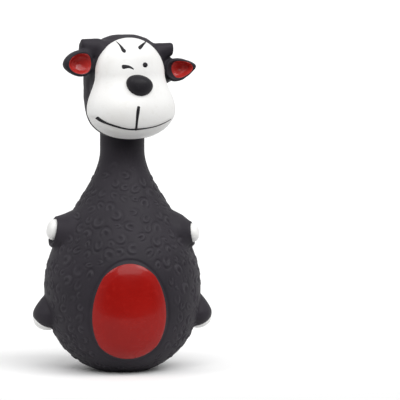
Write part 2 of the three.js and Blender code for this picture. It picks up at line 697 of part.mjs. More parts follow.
const reedFoot = CHAMBER_FLOOR + SEAT_GAP;
const toy = new THREE.Group();
toy.add(makeTrunk(), makeNeck(), makeHead());
toy.add(makeSqueakerHousing(), makeSqueakerCap(), makeReedBlock(reedFoot), ...makeReed(reedFoot));

export default toy;
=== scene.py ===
"""Looks of a hollow latex squeaky dog toy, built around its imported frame.

Sizes are in millimetres and become metres when a piece is finished. Heights on the head are
measured from the top of the neck, and depths on it towards the front that the face looks to.
"""

import logging
import math
import random
from dataclasses import dataclass, field
from enum import Enum
from functools import cached_property
from typing import Any, Callable, Optional, Sequence

import bmesh
import bpy
import numpy as np
from bmesh.types import BMesh
from bpy.types import Material, Mesh, Node, NodeSocket, NodeTree, Object, ShaderNodeTree
from mathutils import Matrix, Vector, noise
from mathutils.bvhtree import BVHTree
from mathutils.geometry import interpolate_bezier
from mathutils.kdtree import KDTree


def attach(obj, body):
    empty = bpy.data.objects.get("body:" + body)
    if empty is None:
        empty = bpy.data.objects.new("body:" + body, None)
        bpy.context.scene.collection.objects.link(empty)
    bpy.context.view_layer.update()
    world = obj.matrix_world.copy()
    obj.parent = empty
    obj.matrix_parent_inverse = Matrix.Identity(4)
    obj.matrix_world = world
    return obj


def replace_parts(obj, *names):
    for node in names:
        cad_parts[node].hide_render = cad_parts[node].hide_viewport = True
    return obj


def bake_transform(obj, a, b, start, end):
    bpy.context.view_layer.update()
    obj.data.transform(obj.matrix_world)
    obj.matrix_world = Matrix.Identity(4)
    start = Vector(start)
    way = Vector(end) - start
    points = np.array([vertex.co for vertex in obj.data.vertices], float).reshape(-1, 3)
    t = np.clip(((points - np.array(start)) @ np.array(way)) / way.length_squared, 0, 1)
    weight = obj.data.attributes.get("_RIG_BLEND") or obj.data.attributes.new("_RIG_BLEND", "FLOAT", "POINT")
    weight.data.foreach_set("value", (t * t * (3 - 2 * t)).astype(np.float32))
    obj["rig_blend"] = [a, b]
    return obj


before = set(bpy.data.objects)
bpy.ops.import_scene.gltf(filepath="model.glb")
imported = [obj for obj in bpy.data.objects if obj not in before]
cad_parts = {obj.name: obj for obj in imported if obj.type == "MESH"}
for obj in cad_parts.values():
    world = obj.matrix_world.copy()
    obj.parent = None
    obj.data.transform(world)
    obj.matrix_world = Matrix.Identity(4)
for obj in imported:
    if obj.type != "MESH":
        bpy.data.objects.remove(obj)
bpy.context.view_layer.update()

log = logging.getLogger("squeaky_toy")

MM = 0.001
MERGE = 1e-4
FAR = 120.0
BACKWARD = Vector((0, 1, 0))
PAINT_THICKNESS = 0.25
RIM_SHARE = 0.1
RIM_SINK = 0.6
NORMAL_LAYER = "cast_normal"
CURL_LAYER = "curl"
RIM_LAYER = "rim"

Colour = tuple[float, float, float, float]
Profile = Sequence[tuple[float, float]]
Range = tuple[float, float]


class Side(Enum):
    """A side of the figure, with the sign of its X."""

    LEFT = 1
    RIGHT = -1

    @property
    def label(self) -> str:
        """The side's name, as pieces and nodes use it."""
        return self.name.lower()


class Body(Enum):
    """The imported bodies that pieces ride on."""

    TRUNK = "trunk"
    BELLY = "belly"
    NECK = "neck"
    HEAD = "head"
    LEFT_EAR = "left_ear"
    RIGHT_EAR = "right_ear"


class Slot(Enum):
    """The record's material slots that new pieces take."""

    BLACK = "black_latex"
    WHITE = "white_latex"
    RED = "red_latex"
    PAINT = "gloss_black_paint"
    PLASTIC = "squeaker_plastic"


def smoothstep(low: float, high: float, value: float) -> float:
    """Rise smoothly from 0 at low to 1 at high.

    Args:
        low: Value where the rise starts.
        high: Value where it ends.
        value: Value to look up.

    Returns:
        The share of the rise, from 0 to 1.
    """
    share = min(1.0, max(0.0, (value - low) / (high - low)))
    return share * share * (3.0 - 2.0 * share)


def bell(distance: float, width: float) -> float:
    """A bell curve that is 1 at distance 0 and falls off over width."""
    return math.exp(-((distance / width) ** 2))


def curve_points(stretches: Sequence[Profile], steps: int) -> list[Vector]:
    """Points along a chain of Bezier stretches.

    Args:
        stretches: Each stretch as knot, handle, handle, knot.
        steps: Points on each stretch.

    Returns:
        The points in order, without doubles where stretches meet.
    """
    points: list[Vector] = []
    for stretch in stretches:
        knots = [Vector((x, 0.0, z)) for x, z in stretch]
        made = interpolate_bezier(*knots, steps)
        points.extend(made[1:] if points else made)
    return points


def reach_at(points: Sequence[Vector], height: float) -> float:
    """The X of an upright outline at a height.

    Args:
        points: The outline from bottom to top.
        height: Height to look up.

    Returns:
        The outline's X there, by straight stretches.
    """
    for low, high in zip(points, points[1:]):
        if low.z <= height <= high.z and high.z > low.z:
            return low.x + (high.x - low.x) * (height - low.z) / (high.z - low.z)
    return 0.0


def flowing(points: Sequence[Sequence[float]], share: float) -> list[float]:
    """A point on the smooth line through some points.

    Args:
        points: Points of any number of values each.
        share: Place along the line, from 0 to 1.

    Returns:
        The values there.
    """
    place = share * (len(points) - 1)
    index = min(int(place), len(points) - 2)
    t = place - index
    before = points[max(index - 1, 0)]
    start, end = points[index], points[index + 1]
    after = points[min(index + 2, len(points) - 1)]
    return [
        0.5 * (2 * b + (c - a) * t + (2 * a - 5 * b + 4 * c - d) * t * t + (3 * b - a - 3 * c + d) * t**3)
        for a, b, c, d in zip(before, start, end, after)
    ]


def spun(profile: Profile, steps: int, sweep: float = math.tau, start: float = 0.0) -> BMesh:
    """A form of revolution about Z.

    Args:
        profile: Radius and height of each point, from one end to the other.
        steps: Steps around the sweep.
        sweep: Angle of the sweep.
        start: Angle where it starts.

    Returns:
        The form, its faces pointing outwards.
    """
    form = bmesh.new()
    across = Vector((math.cos(start), math.sin(start), 0.0))
    verts = [form.verts.new(across * radius + Vector((0.0, 0.0, height))) for radius, height in profile]
    edges = [form.edges.new(pair) for pair in zip(verts, verts[1:])]
    bmesh.ops.spin(
        form, geom=[*verts, *edges], cent=(0, 0, 0), axis=(0, 0, 1), angle=sweep, steps=steps,
        use_merge=math.isclose(sweep, math.tau),
    )
    bmesh.ops.remove_doubles(form, verts=form.verts, dist=MERGE)
    bmesh.ops.recalc_face_normals(form, faces=form.faces)
    return form


def ball(half_x: float, half_y: float, half_z: float, steps: int) -> BMesh:
    """An ellipsoid around the origin.

    Args:
        half_x: Half its width.
        half_y: Half its depth.
        half_z: Half its height.
        steps: Steps around it.

    Returns:
        The ellipsoid.
    """
    form = bmesh.new()
    bmesh.ops.create_uvsphere(form, u_segments=steps, v_segments=steps // 2, radius=1.0)
    bmesh.ops.scale(form, vec=(half_x, half_y, half_z), verts=form.verts)
    return form


def moved(form: BMesh, *moves: Matrix) -> BMesh:
    """The form after some moves, applied in the order given.

    Args:
        form: The form, which is changed.
        moves: The moves.

    Returns:
        The same form.
    """
    for move in moves:
        bmesh.ops.transform(form, matrix=move, verts=form.verts)
    return form


def meshed(name: str, form: BMesh) -> Mesh:
    """A mesh made from a form.

    Args:
        name: The mesh's name.
        form: The form, which is freed.

    Returns:
        The mesh.
    """
    mesh = bpy.data.meshes.new(name)
    form.to_mesh(mesh)
    form.free()
    return mesh


def put(into: BMesh, form: BMesh) -> None:
    """Adds a form to another.

    Args:
        into: The form that grows.
        form: The form that is added, which is freed.
    """
    carrier = meshed("carrier", form)
    into.from_mesh(carrier)
    bpy.data.meshes.remove(carrier)


def placed(name: str, data: Any) -> Object:
    """A new object in the scene, at the origin.

    Args:
        name: The object's name.
        data: Its mesh, camera or lamp.

    Returns:
        The object.
    """
    thing = bpy.data.objects.new(name, data)
    bpy.context.scene.collection.objects.link(thing)
    return thing


def turn(angle: float, axis: str) -> Matrix:
    """A turn about an axis through the origin, by an angle in degrees."""
    return Matrix.Rotation(math.radians(angle), 4, axis)


def shift(x: float, y: float, z: float) -> Matrix:
    """A straight move."""
    return Matrix.Translation((x, y, z))


def closed(form: BMesh) -> BMesh:
    """The form with each of its open loops filled.

    Args:
        form: The form, which is changed.

    Returns:
        The same form.
    """
    rims = [edge for edge in form.edges if edge.is_boundary]
    if rims:
        bmesh.ops.holes_fill(form, edges=rims, sides=0)
    return form


def whole(form: BMesh) -> list[Any]:
    """All of a form, as an operator takes it."""
    return [*form.verts, *form.edges, *form.faces]


def faced(form: BMesh, axis: Vector) -> BMesh:
    """The open form with its faces turned against an axis.

    Args:
        form: The form, which is changed.
        axis: The way from its outside to its inside.

    Returns:
        The same form.
    """
    form.normal_update()
    if sum(face.normal.dot(axis) for face in form.faces) > 0:
        bmesh.ops.reverse_faces(form, faces=form.faces)
        form.normal_update()
    return form


def landed(surface: BVHTree, spot: Vector, axis: Vector) -> tuple[Vector, Vector]:
    """Where a spot that is pushed along an axis lands on a surface.

    Args:
        surface: What it lands on.
        spot: The spot, in front of the surface or near it.
        axis: The way that it is pushed.

    Returns:
        The place, and the way that the surface faces there.
    """
    place, normal, _, _ = surface.ray_cast(spot - axis * FAR, axis)
    if place is None:
        place, normal, _, _ = surface.find_nearest(spot)
    return place, normal


def thickened(form: BMesh, axis: Vector) -> BMesh:
    """An open sheet as a closed layer of paint.

    Args:
        form: The sheet, which is changed.
        axis: The way from its outside to its inside.

    Returns:
        The same form.
    """
    bmesh.ops.recalc_face_normals(form, faces=form.faces)
    bmesh.ops.solidify(faced(form, axis), geom=whole(form), thickness=PAINT_THICKNESS)
    return form


def disc(half_width: float, half_height: float, cuts: int) -> BMesh:
    """A flat oval of even squares in the XY plane.

    Args:
        half_width: Half its size along X.
        half_height: Half its size along Y.
        cuts: Squares along each way.

    Returns:
        The oval, with its rim layer, which is 0 at the rim and 1 inside.
    """
    form = bmesh.new()
    bmesh.ops.create_grid(form, x_segments=cuts, y_segments=cuts, size=1.0)
    layer = form.verts.layers.float.new(RIM_LAYER)
    for vert in form.verts:
        x, y = vert.co.x, vert.co.y
        vert[layer] = smoothstep(0.0, RIM_SHARE, 1.0 - max(abs(x), abs(y)))
        vert.co.x = x * math.sqrt(1 - y * y / 2) * half_width
        vert.co.y = y * math.sqrt(1 - x * x / 2) * half_height
    return form


def lay_on(form: BMesh, surface: BVHTree, axis: Vector, lift: float) -> None:
    """Lays an open sheet onto a surface as a closed layer with a rounded rim.

    Args:
        form: The sheet, with the rim layer that disc() writes.
        surface: What it is laid on.
        axis: The way that it is pushed.
        lift: The layer's height over the surface, inside its rim.
    """
    layer = form.verts.layers.float[RIM_LAYER]
    for vert in form.verts:
        place, normal = landed(surface, vert.co, axis)
        vert.co = place + normal * (lift * ((1 + RIM_SINK) * vert[layer] - RIM_SINK))
    form.verts.layers.float.remove(layer)
    bmesh.ops.smooth_vert(
        form, verts=[vert for vert in form.verts if not vert.is_boundary], factor=0.5,
        use_axis_x=True, use_axis_y=True, use_axis_z=True,
    )
    thickened(form, axis)


def made_piece(name: str, form: BMesh, finish: Material, sharp: Optional[float] = None) -> Object:
    """Turns a form in millimetres into a finished piece in metres.

    Args:
        name: The piece's name.
        form: Its mesh, which is freed.
        finish: Its material.
        sharp: Edges sharper than this angle in degrees stay sharp, if it is given.

    Returns:
        The piece, at the origin and not yet riding on a body.
    """
    bmesh.ops.scale(form, vec=(MM, MM, MM), verts=form.verts)
    for face in form.faces:
        face.smooth = True
    mesh = meshed(name, form)
    cast = mesh.attributes.get(NORMAL_LAYER)
    if cast is not None:
        mesh.normals_split_custom_set_from_vertices([Vector(item.vector) for item in cast.data])
        mesh.attributes.remove(mesh.attributes[NORMAL_LAYER])
    elif sharp is not None:
        mesh.set_sharp_from_angle(angle=math.radians(sharp))
    mesh.materials.append(finish)
    piece = placed(name, mesh)
    log.info("made %s, %d faces", name, len(mesh.polygons))
    return piece


class Wiring:
    """Adds and joins nodes in one node tree."""

    def __init__(self, tree: NodeTree) -> None:
        """Starts on a tree.

        Args:
            tree: The tree to work in.
        """
        self.tree = tree

    def add(self, kind: str, inputs: Optional[dict[Any, Any]] = None, **settings: Any) -> Node:
        """Adds a node.

        Args:
            kind: Its type name.
            inputs: A value or a socket to link for each input, by name or number.
            settings: Properties of the node itself.

        Returns:
            The node.
        """
        node = self.tree.nodes.new(kind)
        for name, value in settings.items():
            setattr(node, name, value)
        self.feed(node, inputs or {})
        return node

    def feed(self, node: Node, inputs: dict[Any, Any]) -> None:
        """Gives some inputs of a node their values or their links.

        Args:
            node: The node.
            inputs: A value or a socket to link for each input, by name or number.
        """
        for key, value in inputs.items():
            if isinstance(value, NodeSocket):
                self.tree.links.new(value, node.inputs[key])
            else:
                node.inputs[key].default_value = value

    def mix(self, share: Any, first: Any, second: Any) -> NodeSocket:
        """A colour between two, by a share."""
        node = self.add("ShaderNodeMix", {0: share, 6: first, 7: second}, data_type="RGBA")
        return node.outputs[2]

    def math(self, operation: str, first: Any, second: Any = 0.0) -> NodeSocket:
        """One step of arithmetic."""
        return self.add("ShaderNodeMath", {0: first, 1: second}, operation=operation).outputs[0]

    def noise(self, place: NodeSocket, scale: Any, detail: float, roughness: float = 0.5) -> NodeSocket:
        """A soft random pattern as a value."""
        inputs = {"Vector": place, "Scale": scale, "Detail": detail, "Roughness": roughness}
        return self.add("ShaderNodeTexNoise", inputs).outputs[0]

    def spread(
        self, value: NodeSocket, low: float, high: float, to_low: float = 0.0, to_high: float = 1.0,
    ) -> NodeSocket:
        """A value's range stretched onto another, and held within it."""
        ranges = {0: value, 1: low, 2: high, 3: to_low, 4: to_high}
        return self.add("ShaderNodeMapRange", ranges, clamp=True).outputs[0]


@dataclass
class SharedEffects:
    """Node groups that several finishes use, each built once."""

    clouds: Range = (0.3, 0.7)
    flecks: Range = (0.56, 0.74)
    fleck_fineness: float = 9.0
    pore_fineness: float = 1.7
    pore_width: float = 0.25
    pore_depth: float = 0.6
    dust_facing: Range = (0.2, 1.0)
    dust_patches: Range = (0.35, 0.7)
    least_dust: float = 0.2

    @staticmethod
    def _started(name: str, outputs: Sequence[str]) -> tuple[Wiring, Node, Node]:
        """A new group with a Vector and a Scale input.

        Args:
            name: The group's name.
            outputs: Names of its outputs, all plain values.

        Returns:
            The group's wiring, and its input and output nodes.
        """
        group = bpy.data.node_groups.new(name, "ShaderNodeTree")
        group.interface.new_socket("Vector", in_out="INPUT", socket_type="NodeSocketVector")
        group.interface.new_socket("Scale", in_out="INPUT", socket_type="NodeSocketFloat")
        for output in outputs:
            group.interface.new_socket(output, in_out="OUTPUT", socket_type="NodeSocketFloat")
        wiring = Wiring(group)
        return wiring, wiring.add("NodeGroupInput"), wiring.add("NodeGroupOutput")

    @cached_property
    def cloudy_tone(self) -> ShaderNodeTree:
        """Uneven tone of a dipped and painted skin: broad clouds and small flecks.

        Returns:
            The group.
        """
        wiring, given, out = self._started("cloudy_tone", ["Tone", "Fleck"])
        place, scale = given.outputs["Vector"], given.outputs["Scale"]
        broad = wiring.noise(place, scale, detail=3.0, roughness=0.55)
        small = wiring.noise(place, wiring.math("MULTIPLY", scale, self.fleck_fineness), detail=2.0)
        tone, fleck = wiring.spread(broad, *self.clouds), wiring.spread(small, *self.flecks)
        wiring.feed(out, {"Tone": tone, "Fleck": fleck})
        return wiring.tree

    @cached_property
    def fine_grain(self) -> ShaderNodeTree:
        """Pores and the faint orange peel of a moulded surface, as a height.

        Returns:
            The group.
        """
        wiring, given, out = self._started("fine_grain", ["Height"])
        place, scale = given.outputs["Vector"], given.outputs["Scale"]
        peel = wiring.noise(place, scale, detail=2.0)
        finer = wiring.math("MULTIPLY", scale, self.pore_fineness)
        pores = wiring.add("ShaderNodeTexVoronoi", {"Vector": place, "Scale": finer})
        pits = wiring.spread(pores.outputs["Distance"], 0.0, self.pore_width, -self.pore_depth, 0.0)
        wiring.feed(out, {"Height": wiring.math("ADD", peel, pits)})
        return wiring.tree

    @cached_property
    def settled_dust(self) -> ShaderNodeTree:
        """A mask of dust on what faces up, broken up by noise.

        Returns:
            The group.
        """
        wiring, given, out = self._started("settled_dust", ["Mask"])
        normal = wiring.add("ShaderNodeNewGeometry").outputs["Normal"]
        upward = wiring.add("ShaderNodeSeparateXYZ", {0: normal}).outputs["Z"]
        patchy = wiring.noise(given.outputs["Vector"], given.outputs["Scale"], detail=4.0)
        broken = wiring.spread(patchy, *self.dust_patches, self.least_dust)
        wiring.feed(out, {"Mask": wiring.math("MULTIPLY", wiring.spread(upward, *self.dust_facing), broken)})
        return wiring.tree


@dataclass(frozen=True)
class Finish:
    """A moulded or painted surface: uneven tone, fine grain, rubbed flecks, settled dust, and on ridged skins
    curl ridges painted paler, partly as wear and partly as a painted highlight.
    """

    name: str
    deep: Colour
    pale: Colour
    rubbed_and_ridge_highlight: Colour
    dust: Colour
    dusty: float = 0.1
    dust_fineness: float = 5.0
    flecked: float = 0.5
    least_ridge_wear_and_highlight: float = 0.45
    tone_scale: float = 60.0
    grain_scale: float = 1500.0
    grain_depth: float = 0.05
    smooth: float = 0.4
    rough: float = 0.55
    shine: float = 0.5
    coat: float = 0.0
    coat_roughness: float = 0.2
    rubbed_highlit_ridges: bool = False

    def build(self, effects: SharedEffects) -> Material:
        """Makes the material.

        Args:
            effects: The shared node groups.

        Returns:
            The material.
        """
        material = bpy.data.materials.new(self.name)
        material.use_nodes = True
        wiring = Wiring(material.node_tree)
        shader = material.node_tree.nodes["Principled BSDF"]
        place = wiring.add("ShaderNodeTexCoord").outputs["Object"]
        tone = self._group(wiring, effects.cloudy_tone, place, self.tone_scale)
        grain = self._group(wiring, effects.fine_grain, place, self.grain_scale)
        dust = self._group(wiring, effects.settled_dust, place, self.tone_scale * self.dust_fineness)
        clouds = tone.outputs["Tone"]
        colour = wiring.mix(clouds, self.deep, self.pale)
        # Curl ridges take the paler colour: partly wear, partly a painted highlight where light catches them.
        if self.rubbed_highlit_ridges:
            ridge = wiring.add("ShaderNodeAttribute", attribute_name=CURL_LAYER).outputs["Fac"]
            worn_and_highlit = wiring.math("MULTIPLY", ridge, wiring.spread(clouds, 0.0, 1.0, self.least_ridge_wear_and_highlight))
        else:
            worn_and_highlit = wiring.math("MULTIPLY", tone.outputs["Fleck"], self.flecked)
        colour = wiring.mix(worn_and_highlit, colour, self.rubbed_and_ridge_highlight)
        colour = wiring.mix(wiring.math("MULTIPLY", dust.outputs["Mask"], self.dusty), colour, self.dust)
        bump = wiring.add(
            "ShaderNodeBump",
            {"Strength": 1.0, "Distance": self.grain_depth * MM, "Height": grain.outputs["Height"]},
        )
        looks = {
            "Base Color": colour, "Roughness": wiring.spread(clouds, 0.0, 1.0, self.smooth, self.rough),
            "Normal": bump.outputs[0], "Specular IOR Level": self.shine,
            "Coat Weight": self.coat, "Coat Roughness": self.coat_roughness,
        }
        wiring.feed(shader, looks)
        return material

    @staticmethod
    def _group(wiring: Wiring, group: ShaderNodeTree, place: NodeSocket, scale: float) -> Node:
        """Places a shared group with its coordinates and scale."""
        return wiring.add("ShaderNodeGroup", {"Vector": place, "Scale": scale}, node_tree=group)


class Finishes:
    """Every finish on the toy, built once."""

    def __init__(self) -> None:
        """Builds the materials."""
        effects = SharedEffects()
        # Its curl ridges are painted paler: partly wear, partly a painted highlight.
        self.black = Finish(
            "black_latex", deep=(0.022, 0.0194, 0.0248, 1), pale=(0.0318, 0.0278, 0.035, 1),
            rubbed_and_ridge_highlight=(0.046, 0.042, 0.05, 1), dust=(0.10, 0.098, 0.105, 1), dusty=0.1, tone_scale=55,
            grain_scale=1700, grain_depth=0.05, smooth=0.46, rough=0.58, shine=0.14, rubbed_highlit_ridges=True,
        ).build(effects)
        self.white = Finish(
            "white_latex", deep=(0.83, 0.82, 0.80, 1), pale=(0.88, 0.88, 0.87, 1),
            rubbed_and_ridge_highlight=(0.80, 0.79, 0.76, 1), dust=(0.70, 0.70, 0.70, 1), dusty=0.05, tone_scale=45,
            grain_scale=1400, grain_depth=0.03, smooth=0.30, rough=0.42, coat=0.15, coat_roughness=0.3,
        ).build(effects)
        self.red = Finish(
            "red_latex", deep=(0.275, 0.0045, 0.003, 1), pale=(0.335, 0.007, 0.0045, 1),
            rubbed_and_ridge_highlight=(0.36, 0.012, 0.008, 1), dust=(0.45, 0.20, 0.19, 1), dusty=0.03, tone_scale=50,
            grain_scale=1300, grain_depth=0.02, smooth=0.22, rough=0.3, shine=0.16,
            coat=0.14, coat_roughness=0.08,
        ).build(effects)
        # The ear linings' red paint, made paler than the belly's as painted light for the top light that the
        # cups catch.
        self.ear_red = Finish(
            "ear_red_latex", deep=(0.34, 0.014, 0.012, 1), pale=(0.52, 0.03, 0.025, 1),
            rubbed_and_ridge_highlight=(0.5, 0.07, 0.06, 1), dust=(0.5, 0.25, 0.24, 1), dusty=0.05, tone_scale=150,
            grain_scale=1300, grain_depth=0.03, smooth=0.24, rough=0.36, shine=0.25,
            coat=0.16, coat_roughness=0.2,
        ).build(effects)
        self.paint = Finish(
            "gloss_black_paint", deep=(0.016, 0.015, 0.018, 1), pale=(0.024, 0.0225, 0.0265, 1),
            rubbed_and_ridge_highlight=(0.034, 0.033, 0.037, 1), dust=(0.12, 0.12, 0.12, 1), dusty=0.06, tone_scale=90,
            grain_scale=1600, grain_depth=0.03, smooth=0.44, rough=0.54, shine=0.12,
            coat=0.03, coat_roughness=0.25,
        ).build(effects)
        self.plastic = Finish(
            "squeaker_plastic", deep=(0.70, 0.67, 0.58, 1), pale=(0.80, 0.77, 0.69, 1),
            rubbed_and_ridge_highlight=(0.62, 0.58, 0.48, 1), dust=(0.6, 0.58, 0.54, 1), tone_scale=160,
            grain_scale=2200, grain_depth=0.02, smooth=0.36, rough=0.5,
        ).build(effects)
        self.film = Finish(
            "reed_film", deep=(0.52, 0.58, 0.60, 1), pale=(0.62, 0.68, 0.70, 1),
            rubbed_and_ridge_highlight=(0.7, 0.74, 0.75, 1), dust=(0.6, 0.6, 0.6, 1), tone_scale=300,
            grain_scale=3000, grain_depth=0.01, smooth=0.16, rough=0.26,
        ).build(effects)


@dataclass(frozen=True)
class BottleForm:
    """The pear-shaped trunk and its neck, one form of revolution."""

    recess_radius: float = 10.3
    recess_depth: float = 1.6
    ring_radius: float = 11.7
    flare_out: float = 13.2
    flare_rise: float = 5.0
    belly_radius: float = 35.2
    belly_height: float = 37.5
    handle_below: float = 22.0
    handle_above: float = 25.6
    neck_radius: float = 10.0
    neck_height: float = 99.0
    neck_handle: float = 17.0
    neck_inset: float = 14.0
    fineness: int = 40
    steps: int = 128

    @cached_property
    def wall(self) -> list[Vector]:
        """The wall's outline, from the standing ring up to the neck's top.

        Returns:
            Points with the radius in X and the height in Z.
        """
        ring, belly, neck = self.ring_radius, self.belly_radius, self.neck_radius
        low, high = self.belly_height, self.neck_height
        flare, girth = (ring + self.flare_out, self.flare_rise), (belly, low)
        return curve_points(
            [
                [(ring, 0), flare, (belly, low - self.handle_below), girth],
                [girth, (belly, low + self.handle_above), (neck, high - self.neck_handle), (neck, high)],
            ],
            self.fineness,
        )

    def radius_at(self, height: float) -> float:
        """The wall's radius at a height."""
        return reach_at(self.wall, height)

    def build(self) -> BMesh:
        """The closed bottle, with the recess for the squeaker in its base.

        Returns:
            The bottle.
        """
        top = self.neck_height + self.neck_inset
        foot = [(0, self.recess_depth), (self.recess_radius, self.recess_depth), (self.recess_radius, 0)]
        wall = [(point.x, point.z) for point in self.wall]
        return spun([*foot, *wall, (self.neck_radius, top), (0, top)], self.steps)


@dataclass(frozen=True)
class ArmShape:
    """What the two arms, modelled by hand, don't share."""

    height: float
    forward: float
    lift: float
    cuff_radius: float
    hand_radius: float
    hand_rise: float


@dataclass(frozen=True)
class ArmForm:
    """A stub arm: a tapered sleeve with a white hand in its dished end."""

    bottle: BottleForm
    left: ArmShape = ArmShape(
        height=61.45, forward=15.0, lift=8.0, cuff_radius=5.5, hand_radius=4.3, hand_rise=0.2,
    )
    right: ArmShape = ArmShape(
        height=62.35, forward=7.0, lift=12.5, cuff_radius=7.0, hand_radius=4.8, hand_rise=0.8,
    )
    middle_height: float = 61.9
    length: float = 3.9
    shoulder_radius: float = 8.8
    root_radius: float = 14.2
    root_depth: float = 8.0
    dish: float = 1.5
    dish_share: float = 0.8
    rim: float = 0.9
    lip: float = 0.7
    hand_length: float = 2.8
    hand_sink: float = 0.4
    hand_side: float = 1.2
    hand_foot_share: float = 0.92
    hand_bluntness: float = 0.8
    hand_steps: int = 12
    clear: float = 12.5
    steps: int = 48

    def shape(self, side: Side) -> ArmShape:
        """One arm's own values."""
        return self.left if side is Side.LEFT else self.right

    def place(self, side: Side) -> list[Matrix]:
        """Moves that put a form rising along +Z at an arm's root.

        Args:
            side: The arm's side.

        Returns:
            The moves in order.
        """
        sign, wall, own = side.value, self.bottle.radius_at(self.middle_height), self.shape(side)
        return [
            shift(0, 0, -wall), turn(sign * (90 - own.lift), "Y"), shift(sign * wall, 0, own.height),
            turn(-sign * own.forward, "Z"),
        ]

    def sleeve(self, side: Side) -> BMesh:
        """The black sleeve, closed and dished at its end.

        Args:
            side: The arm's side.

        Returns:
            The sleeve, in the toy's frame.
        """
        wall, radius = self.bottle.radius_at(self.middle_height), self.shape(side).cuff_radius
        root, end = wall - self.root_depth, wall + self.length
        inner, floor = radius - self.rim, end - self.dish
        profile = [
            (0, root), (self.root_radius, root), (self.shoulder_radius, wall), (radius, end - self.lip),
            (radius, end), (inner, end), (inner * self.dish_share, floor), (0, floor),
        ]
        return moved(spun(profile, self.steps), *self.place(side))

    def hand(self, side: Side) -> BMesh:
        """The white hand, a soft dome seated in the sleeve's dish.

        Args:
            side: The arm's side.

        Returns:
            The hand, in the toy's frame.
        """
        own = self.shape(side)
        radius = own.hand_radius
        seat = self.bottle.radius_at(self.middle_height) + self.length - self.dish - self.hand_sink
        base, top = seat + self.hand_side, seat + self.hand_length + self.dish + self.hand_sink
        arc = [(0.0, seat), (radius * self.hand_foot_share, seat)]
        for step in range(self.hand_steps + 1):
            angle = step / self.hand_steps * math.pi / 2
            out = radius * math.cos(angle) ** self.hand_bluntness
            arc.append((out, base + (top - base) * math.sin(angle)))
        return moved(spun(arc, self.steps), shift(-side.value * own.hand_rise, 0, 0), *self.place(side))


@dataclass(frozen=True)
class FootForm:
    """A stub foot: a rounded mound low on the trunk's side, with a white sole pad."""

    bottle: BottleForm
    height: float = 25.4
    sink: float = 1.1
    half_length: float = 7.6
    half_width: float = 9.4
    half_height: float = 6.6
    instep: float = 11.0
    instep_slope: float = 0.65
    sole_drop: float = 2.2
    sole_angle: float = 30.0
    sole_inset: float = 1.2
    sole_half_width: float = 6.4
    clear_rise: float = 2.75
    clear: float = 11.5
    steps: int = 48

    def out(self) -> float:
        """The distance of the foot's centre from the trunk's axis."""
        return self.bottle.radius_at(self.height) - self.sink

    def mound(self, side: Side) -> BMesh:
        """The black mound, with a sloping instep.

        Args:
            side: The foot's side.

        Returns:
            The mound, in the toy's frame.
        """
        form = ball(1, 1, 1, self.steps)
        for vert in form.verts:
            high = vert.co.z
            if high > 0:
                slope = 1 - math.hypot(vert.co.x, vert.co.y)
                vert.co.z = self.instep * (high + (slope - high) * self.instep_slope)
            else:
                vert.co.z = self.half_height * high
        bmesh.ops.scale(form, vec=(self.half_length, self.half_width, 1), verts=form.verts)
        return moved(form, shift(side.value * self.out(), 0, self.height))

    def sole(self, side: Side) -> BMesh:
        """The white pad on the mound's lower outer side.

        Args:
            side: The foot's side.

        Returns:
            The pad, in the toy's frame.
        """
        angle, inset = math.radians(self.sole_angle), self.sole_inset
        form = ball(self.half_length - inset, self.sole_half_width, self.half_height - inset, self.steps)
        aside, down = self.sole_drop * math.sin(angle), self.sole_drop * math.cos(angle)
        return moved(form, shift(side.value * (self.out() + aside), 0, self.height - down))


